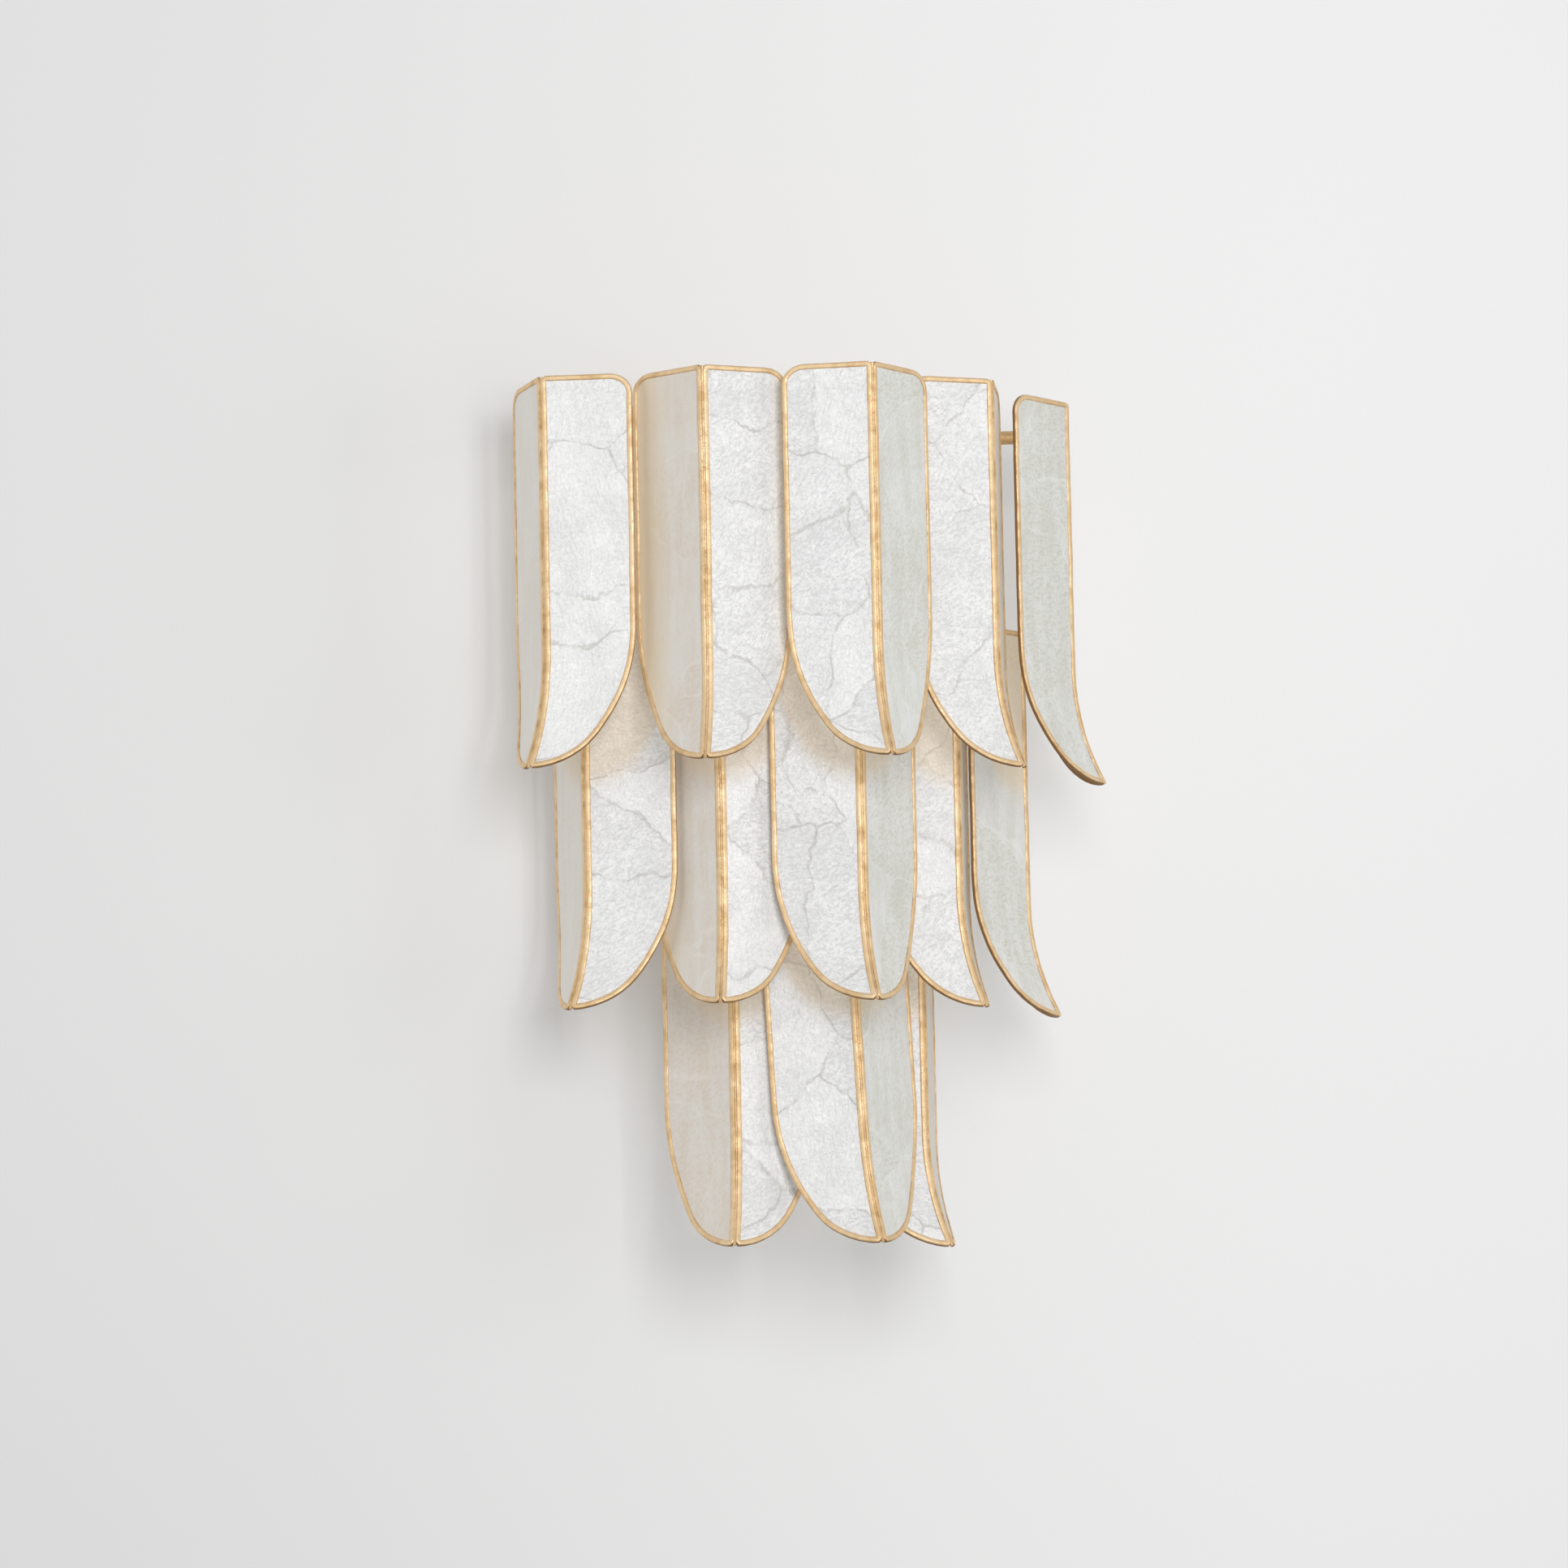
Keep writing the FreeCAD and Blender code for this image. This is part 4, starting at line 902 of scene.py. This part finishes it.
class BeadTree:
    """Geometry Nodes that sweep a hand-made gilt bead along each path of a petal's frame.

    A point of a path holds the part that it belongs to, the way that the sheet faces there and its girth.
    The swept mesh keeps an attribute "rim": 1 in front of a bead, 0 at its sides and -1 behind it.
    """

    INPUTS = {"Bead Width": 3.3*MM, "Bead Depth": 3.0*MM, "Rounding": 1.0*MM, "Spine Radius": 1.0*MM,
              "Arm Radius": 4*MM, "Step": 1.6*MM, "Wobble": 0.6*MM, "Uneven": 0.45, "Relief": 0.25*MM,
              "Seed": 3.0}
    WOBBLE_SCALE = 38.0
    SWELL_SCALE = 110.0
    RELIEF_SCALE = 260.0
    ROUNDING_POINTS = 3
    ROD_SIDES = 18
    # Rim value of the rods, which sets how much painted highlight and painted flank shade the gilt lays on
    # them.
    ROD_RIM = 0.78

    def __init__(self) -> None:
        """Build the tree."""
        tree = bpy.data.node_groups.new("gilt_bead", "GeometryNodeTree")
        tree.interface.new_socket("Geometry", in_out="INPUT", socket_type="NodeSocketGeometry")
        for name, value in self.INPUTS.items():
            socket = tree.interface.new_socket(name, in_out="INPUT", socket_type="NodeSocketFloat")
            socket.default_value = value
        tree.interface.new_socket("Material", in_out="INPUT", socket_type="NodeSocketMaterial")
        tree.interface.new_socket("Geometry", in_out="OUTPUT", socket_type="NodeSocketGeometry")
        self.tree = tree
        self.build = NodeBuilder(tree)
        self.entry = self.build.add("NodeGroupInput")
        self._fill()

    def _size(self, name: str) -> Socket:
        """Socket of one of the tree's inputs."""
        return self.entry.outputs[name]

    def _named(self, name: str, kind: str) -> Socket:
        """Read an attribute of the paths.

        Args:
            name: the attribute.
            kind: its data type.

        Returns:
            Its value.
        """
        node = self.build.add("GeometryNodeInputNamedAttribute", {"data_type": kind})
        node.inputs["Name"].default_value = name
        return node.outputs["Attribute"]

    def _paths(self, part: Part) -> Socket:
        """Curves of one kind of path.

        Args:
            part: which part of the frame follows them.

        Returns:
            The curves.
        """
        build = self.build
        chosen = build.add("FunctionNodeCompare", {"data_type": "INT", "operation": "EQUAL"})
        build.feed(chosen.inputs[2], self._named("part", "INT"))
        chosen.inputs[3].default_value = part.value
        kept = build.add("GeometryNodeSeparateGeometry", {"domain": "POINT"}, Geometry=self._size("Geometry"),
                         Selection=chosen.outputs[0])
        return build.add("GeometryNodeMeshToCurve", Mesh=kept.outputs["Selection"]).outputs[0]

    def _scatter(self, scale: float, detail: float, amount: object) -> Socket:
        """A vector that wanders from place to place, up to about half the amount each way.

        Args:
            scale: scale of the noise that it follows.
            detail: detail of that noise.
            amount: how far it wanders.

        Returns:
            The vector.
        """
        build = self.build
        place = build.add("GeometryNodeInputPosition").outputs[0]
        noise = build.add("ShaderNodeTexNoise", {"noise_dimensions": "4D"}, Vector=place, W=self._size("Seed"),
                          Scale=scale, Detail=detail)
        centred = build.add("ShaderNodeVectorMath", {"operation": "SUBTRACT"}, i0=noise.outputs["Color"],
                            i1=(0.5, 0.5, 0.5)).outputs[0]
        grown = build.add("ShaderNodeVectorMath", {"operation": "SCALE"}, i0=centred)
        build.feed(grown.inputs["Scale"], amount)
        return grown.outputs[0]

    def _bead(self) -> Socket:
        """Sweep a rounded bar along the closed loops.

        Returns:
            The swept mesh.
        """
        build = self.build
        fine = build.add("GeometryNodeResampleCurve", {"mode": "LENGTH"}, Curve=self._paths(Part.BEAD),
                         Length=self._size("Step"))
        bent = build.add("GeometryNodeSetPosition", Geometry=fine.outputs[0],
                         Offset=self._scatter(self.WOBBLE_SCALE, 1.0, self._size("Wobble")))
        place = build.add("GeometryNodeInputPosition").outputs[0]
        swell = build.noise(place, self.SWELL_SCALE, 2.0).outputs[0]
        swell = build.maths("MULTIPLY", build.maths("SUBTRACT", swell, 0.5), self._size("Uneven"))
        girth = build.maths("MULTIPLY", self._named("girth", "FLOAT"), build.maths("ADD", swell, 1.0))
        fat = build.add("GeometryNodeSetCurveRadius", Curve=bent.outputs[0], Radius=girth)
        faced = build.add("GeometryNodeSetCurveNormal", {"mode": "FREE"}, Curve=fat.outputs[0],
                          Normal=self._named("facing", "FLOAT_VECTOR"))
        bar = build.add("GeometryNodeCurvePrimitiveQuadrilateral", {"mode": "RECTANGLE"},
                        Width=self._size("Bead Depth"), Height=self._size("Bead Width"))
        soft = build.add("GeometryNodeFilletCurve", {"mode": "POLY"}, Curve=bar.outputs[0],
                         Count=self.ROUNDING_POINTS, Radius=self._size("Rounding"))
        swept = build.add("GeometryNodeCurveToMesh", Curve=faced.outputs[0],
                          Profile_Curve=self._mark_rim(soft.outputs[0], self._size("Bead Depth")))
        return swept.outputs[0]

    def _mark_rim(self, profile: object, depth: object) -> Socket:
        """Store how far in front each point of a profile lies.

        Args:
            profile: the profile's curve.
            depth: its size from front to back.

        Returns:
            The profile.
        """
        build = self.build
        place = build.add("GeometryNodeInputPosition").outputs[0]
        ahead = build.add("ShaderNodeSeparateXYZ", Vector=place).outputs[0]
        share = build.maths("DIVIDE", build.maths("MULTIPLY", ahead, 2.0), depth)
        return self._store_rim(profile, share)

    def _store_rim(self, profile: object, rim: object) -> Socket:
        """Keep the attribute "rim" on a profile."""
        return self.build.add("GeometryNodeStoreNamedAttribute", {"data_type": "FLOAT", "domain": "POINT"},
                              Geometry=profile, Name="rim", Value=rim).outputs[0]

    def _rod(self, part: Part, radius: str) -> Socket:
        """Sweep a round rod with closed ends along an open path.

        Args:
            part: the spine or the arm.
            radius: name of the input with its radius.

        Returns:
            The swept mesh.
        """
        build = self.build
        fine = build.add("GeometryNodeResampleCurve", {"mode": "LENGTH"}, Curve=self._paths(part),
                         Length=self._size("Step"))
        ring = build.add("GeometryNodeCurvePrimitiveCircle", {"mode": "RADIUS"}, Resolution=self.ROD_SIDES,
                         Radius=self._size(radius))
        swept = build.add("GeometryNodeCurveToMesh", Curve=fine.outputs[0],
                          Profile_Curve=self._store_rim(ring.outputs[0], self.ROD_RIM), Fill_Caps=True)
        return swept.outputs[0]

    def _fill(self) -> None:
        """Add every node of the tree."""
        build = self.build
        joined = build.add("GeometryNodeJoinGeometry")
        for swept in (self._rod(Part.ARM, "Arm Radius"), self._rod(Part.SPINE, "Spine Radius"), self._bead()):
            self.tree.links.new(swept, joined.inputs[0])
        lumps = build.add("GeometryNodeSetPosition", Geometry=joined.outputs[0],
                          Offset=self._scatter(self.RELIEF_SCALE, 3.0, self._size("Relief")))
        smooth = build.add("GeometryNodeSetShadeSmooth", Geometry=lumps.outputs[0])
        real = build.add("GeometryNodeRealizeInstances", Geometry=smooth.outputs[0])
        dressed = build.add("GeometryNodeSetMaterial", Geometry=real.outputs[0],
                            Material=self._size("Material"))
        leave = build.add("NodeGroupOutput")
        build.feed(leave.inputs[0], dressed.outputs[0])

    def apply(self, piece: Object, values: dict[str, object]) -> None:
        """Run the tree on a piece and keep the result as its plain mesh.

        Args:
            piece: object whose mesh holds the paths.
            values: values of the tree's inputs, by name.
        """
        modifier = piece.modifiers.new("gilt_bead", "NODES")
        modifier.node_group = self.tree
        for item in self.tree.interface.items_tree:
            if item.in_out == "INPUT" and item.name in values:
                modifier[item.identifier] = values[item.name]
        evaluated = piece.evaluated_get(bpy.context.evaluated_depsgraph_get())
        mesh = bpy.data.meshes.new_from_object(evaluated)
        piece.modifiers.clear()
        piece.data = mesh


@dataclass(frozen=True)
class GiltFrames:
    """Frames of all the petals: a bead round each shell, a spine between them, and the arm behind.

    Inset and ridge_x are where the middle of the bead runs, from the petal's outline and from its ridge.
    """

    form: PetalForm
    layout: Layout
    tree: BeadTree
    gilt: Material
    inset: float = 1.95*MM
    ridge_x: float = 1.45*MM
    ridge_girth: float = 0.76
    top_turn: float = 0.8*MM
    foot_turn: float = 0.5*MM
    chord: float = 5*MM
    corner_parts: int = 6
    side_parts: int = 12
    ridge_parts: int = 24
    spine_parts: int = 30
    spine_past: float = 1.0*MM
    spine_back: float = 0.3*MM
    arm_start: float = 1.5*MM

    @staticmethod
    def _arc(centre: Point, radius: float, first: float, last: float, parts: int) -> list[Point]:
        """Points along an arc, both its ends among them.

        Args:
            centre: X and Z of its centre.
            radius: its radius.
            first: angle where it begins.
            last: angle where it ends.
            parts: number of chords.

        Returns:
            The points.
        """
        turns = [first + (last - first)*index/parts for index in range(parts + 1)]
        return [(centre[0] + radius*math.cos(turn), centre[1] + radius*math.sin(turn)) for turn in turns]

    def _loop(self) -> list[Point]:
        """Middle line of a bead, seen from the front: down the side, round the tip and up the ridge.

        Returns:
            X and Z of its points.
        """
        form, inset, ridge = self.form, self.inset, self.ridge_x
        span, side, tip, turn = form.span, form.side_radius, form.tip, form.side_turn
        head = -inset - self.top_turn
        points = [(ridge, head), (ridge + self.top_turn, -inset)]
        points += self._arc((span - form.corner, -form.corner), form.corner - inset, math.pi/2, 0.0,
                            self.corner_parts)
        for index in range(1, self.side_parts):
            points.append((span - inset, -form.corner + (form.side_end + form.corner)*index/self.side_parts))
        points += self._arc((span - side, form.side_end), side - inset, 0.0, -turn,
                            round(side*turn/self.chord))[:-1]
        low = math.acos((ridge + self.foot_turn)/(tip - inset))
        points += self._arc((0.0, form.tip_z), tip - inset, -turn, -low, round(tip*(low - turn)/self.chord))
        foot = points[-1][1] + self.foot_turn
        points += [(ridge, foot + (head - foot)*index/self.ridge_parts) for index in range(self.ridge_parts)]
        return points

    def make_paths(self, name: str, place: Matrix, arm_end: float) -> Object:
        """Draw the paths of one petal's frame as edges of a mesh.

        Args:
            name: the piece's name.
            place: matrix of the petal.
            arm_end: distance from the ridge to the hoop.

        Returns:
            An object that holds only the paths.
        """
        form = self.form
        points: list[Vector] = []
        facing: list[Vector] = []
        parts: list[int] = []
        girths: list[float] = []
        edges: list[tuple[int, int]] = []
        turn = place.to_3x3()
        loop = self._loop()
        for side in Side:
            first = len(points)
            for x, z in loop:
                points.append(place @ form.point(side, x, z))
                facing.append(turn @ form.outward(side, z))
                parts.append(Part.BEAD.value)
                girths.append(self.ridge_girth if x < 2*self.ridge_x else 1.0)
            edges += [(first + i, first + (i + 1) % len(loop)) for i in range(len(loop))]
        top, foot = -self.inset + self.spine_past, min(z for _, z in loop) - self.spine_past
        spine = [(0.0, top + (foot - top)*index/self.spine_parts) for index in range(self.spine_parts + 1)]
        arm = [(y, -self.layout.arm_drop) for y in (self.arm_start, arm_end)]
        first = len(points)
        for x, z in spine:
            middle = form.point(Side.RIGHT, x, z)
            points.append(place @ (middle + Vector((0, self.spine_back, 0))))
        for y, z in arm:
            points.append(place @ Vector((0, y, z)))
        facing += [turn @ Vector((0, -1, 0))]*(len(spine) + len(arm))
        girths += [1.0]*(len(spine) + len(arm))
        parts += [Part.SPINE.value]*len(spine) + [Part.ARM.value]*len(arm)
        edges += [(first + i, first + i + 1) for i in range(len(spine) - 1)]
        edges.append((len(points) - 2, len(points) - 1))
        mesh = bpy.data.meshes.new(name)
        mesh.from_pydata([tuple(v) for v in points], edges, [])
        ways = [c for v in facing for c in v]
        mesh.attributes.new("facing", "FLOAT_VECTOR", "POINT").data.foreach_set("vector", ways)
        mesh.attributes.new("part", "INT", "POINT").data.foreach_set("value", parts)
        mesh.attributes.new("girth", "FLOAT", "POINT").data.foreach_set("value", girths)
        return add_object(name, mesh)

    def build(self) -> list[str]:
        """Make every frame, dress it and set it in place of its CAD node.

        Returns:
            The names of the pieces.
        """
        names: list[str] = []
        for tier in Tier:
            hoop = self.layout.radius[tier] - self.layout.hoop_inset
            for number, step in enumerate(self.layout.steps(tier), start=1):
                place = self.layout.place(self.form, tier, step)
                ridge = math.hypot(place.translation.x, place.translation.y)
                node = f"{tier.value}_petal_{number}_frame"
                piece = self.make_paths(f"{node}_gilt", place, ridge - hoop)
                self.tree.apply(piece, {"Material": self.gilt})
                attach(piece, "root")
                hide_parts(node)
                names.append(piece.name)
        return names


# ---------------------------------------------------------------- CAD nodes that keep their shape

def dress(node: str, material: Material) -> None:
    """Give a carried-over CAD node its finish.

    Args:
        node: the node.
        material: its material.
    """
    piece = frame["nodes"][node]
    piece.data.materials.clear()
    piece.data.materials.append(material)


@dataclass(frozen=True)
class Fittings:
    """Hoops, pan, crossbar, screws and lamps, which keep the CAD part's shape."""

    grain: Grain
    gilt: Material
    finishes: tuple[tuple[PlainFinish, tuple[str, ...]], ...] = (
        (PlainFinish("zinc", (0.62, 0.63, 0.64), (0.42, 0.43, 0.45), 0.35, 0.9, 90.0),
         ("crossbar", "machine_screws", "ground_screw", "bracket_screws", "lamp_bracket_left",
          "lamp_bracket_right")),
        (PlainFinish("pan_paint", (0.80, 0.75, 0.64), (0.70, 0.64, 0.52), 0.45, 0.1, 40.0),
         ("wall_pan",)),
        (PlainFinish("nut_brass", (0.80, 0.58, 0.27), (0.52, 0.33, 0.12), 0.32, 0.9, 80.0),
         ("cap_nuts", "lamp_cap_left", "lamp_cap_right")),
        (PlainFinish("holder_cream", (0.86, 0.84, 0.79), (0.72, 0.70, 0.64), 0.42),
         ("lamp_leads", "terminal_block", "lampholder_left", "lampholder_right")),
        (PlainFinish("grommet_rubber", (0.03, 0.03, 0.03), (0.06, 0.06, 0.06), 0.7),
         ("grommets",)),
        (PlainFinish("frosted_glass", (0.97, 0.96, 0.93), (0.90, 0.89, 0.86), 0.45, 0.0, 30.0, relief=0.05,
                     clear=0.5),
         ("lamp_glass_left", "lamp_glass_right")))

    def build(self) -> list[str]:
        """Dress every fitting, the hoops in gilt.

        Returns:
            The names of the nodes.
        """
        looks = {f"{tier.value}_hoop": self.gilt for tier in Tier}
        for finish, nodes in self.finishes:
            looks |= dict.fromkeys(nodes, finish.make(self.grain))
        for node, material in looks.items():
            dress(node, material)
        return list(looks)


# ---------------------------------------------------------------- studio

@dataclass(frozen=True)
class Lamp:
    """A square soft box: its place and size in metres and its power in watts."""

    name: str
    place: Place
    size: float
    power: float

    def add(self, target: Vector) -> None:
        """Put the lamp in the scene, so that it points at a target.

        Args:
            target: what it points at.
        """
        light = bpy.data.lights.new(self.name, "AREA")
        light.shape = "SQUARE"
        light.size = self.size
        light.energy = self.power
        holder = add_object(self.name, light)
        holder.location = self.place
        holder.rotation_euler = (target - Vector(self.place)).to_track_quat("-Z", "Y").to_euler()


@dataclass(frozen=True)
class Studio:
    """Wall, lights and camera of the photograph."""

    target: Place = (17.51*MM, 0.0, -65.2*MM)
    yaw: float = math.radians(22.11)
    rise: float = math.radians(6.89)
    roll: float = math.radians(-1.19)
    distance: float = 4199*MM
    lens: float = 160.67
    # Painted light: the wall is painted lighter towards the right, where the lamps light it more.
    wall_left_painted_dim: Colour = (0.75, 0.75, 0.75)
    wall_right_painted_lit: Colour = (0.89, 0.89, 0.89)
    wall_painted_light_range: Range = (-0.6, 0.45)
    wall_roughness: float = 0.9
    wall_sheen: float = 0.1
    wall_reach: float = 6.0
    wall_gap: float = 0.2*MM
    hole_margin: float = 4*MM
    sensor: float = 36.0
    far: float = 50.0
    room_light: float = 0.32
    lamp_target: Place = (0.0, -0.1, -0.09)
    lamps: tuple[Lamp, ...] = (Lamp("key", (-0.5, -3.2, 0.4), 1.6, 64.0),
                               Lamp("right_fill", (2.15, -1.8, 0.0), 1.2, 12.0),
                               Lamp("left_fill", (-2.4, -0.4, 0.1), 1.2, 7.5))

    def add_camera(self) -> None:
        """Set the camera where the photograph was taken: left of the sconce and below it."""
        back = Vector((-math.sin(self.yaw)*math.cos(self.rise), -math.cos(self.yaw)*math.cos(self.rise),
                       -math.sin(self.rise)))
        ahead = -back
        right = ahead.cross(Vector((0, 0, 1))).normalized()
        up = right.cross(ahead)
        level = right*math.cos(self.roll) + up*math.sin(self.roll)
        above = up*math.cos(self.roll) - right*math.sin(self.roll)
        camera = bpy.data.cameras.new("camera")
        camera.lens = self.lens
        camera.sensor_width = self.sensor
        camera.clip_end = self.far
        holder = add_object("camera", camera)
        turn = Matrix((level, above, back)).transposed().to_4x4()
        holder.matrix_world = Matrix.Translation(Vector(self.target) + back*self.distance) @ turn
        bpy.context.scene.camera = holder

    def add_wall(self) -> None:
        """Pale wall behind the sconce, with painted light that makes it lighter towards the right, which can't
        be seen from behind.

        A hole in it lies behind the wall pan, so that light reaches the pan's hollow from behind.
        """
        mesh = bpy.data.meshes.new("wall")
        low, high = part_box("wall_pan")
        margin, reach = self.hole_margin, self.wall_reach
        hole = (low[0] + margin, low[2] + margin, high[0] - margin, high[2] - margin)
        points = [(x, 0.0, z) for left, under, right, over in ((-reach, -reach, reach, reach), hole)
                  for x, z in ((left, under), (right, under), (right, over), (left, over))]
        mesh.from_pydata(points, [], [(i, (i + 1) % 4, 4 + (i + 1) % 4, 4 + i) for i in range(4)])
        wall = add_object("wall", mesh)
        wall.location.y = self.wall_gap
        material, build, shader = new_material("wall_paint")
        place = build.add("ShaderNodeTexCoord").outputs["Object"]
        across = build.add("ShaderNodeSeparateXYZ", Vector=place).outputs[0]
        # Painted light: lighter towards the right across the wall.
        shade = build.ramp(across, *self.wall_painted_light_range)
        build.fill(shader, Base_Color=build.blend(shade, self.wall_left_painted_dim, self.wall_right_painted_lit),
                   Roughness=self.wall_roughness, Specular_IOR_Level=self.wall_sheen)
        clear = build.add("ShaderNodeBsdfTransparent")
        behind = build.add("ShaderNodeNewGeometry").outputs["Backfacing"]
        mix = build.add("ShaderNodeMixShader", i0=behind, i1=shader.outputs[0], i2=clear.outputs[0])
        set_surface(material, build, mix)
        mesh.materials.append(material)

    def build(self) -> None:
        """Set up everything round the sconce."""
        scene = bpy.context.scene
        scene.view_settings.view_transform = "Standard"
        self.add_camera()
        self.add_wall()
        for lamp in self.lamps:
            lamp.add(Vector(self.lamp_target))
        world = bpy.data.worlds.new("room")
        scene.world = world
        world.use_nodes = True
        background = world.node_tree.nodes["Background"]
        background.inputs["Color"].default_value = (1.0, 1.0, 1.0, 1.0)
        background.inputs["Strength"].default_value = self.room_light


def main() -> None:
    """Build the scene in order and say what was made."""
    logging.basicConfig(level=logging.INFO, format="%(message)s")
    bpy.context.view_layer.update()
    Studio().build()
    grain = Grain()
    gilt = GiltFinish().make(grain, rimmed=True)
    form, layout = PetalForm(), Layout()
    for maker in (Fittings(grain, GiltFinish("gilt_bar").make(grain, rimmed=False)), ShellPanes(form, layout),
                  GiltFrames(form, layout, BeadTree(), gilt)):
        for name in maker.build():
            LOG.info("%s: %s", type(maker).__name__, name)


if __name__ == "__main__":
    main()
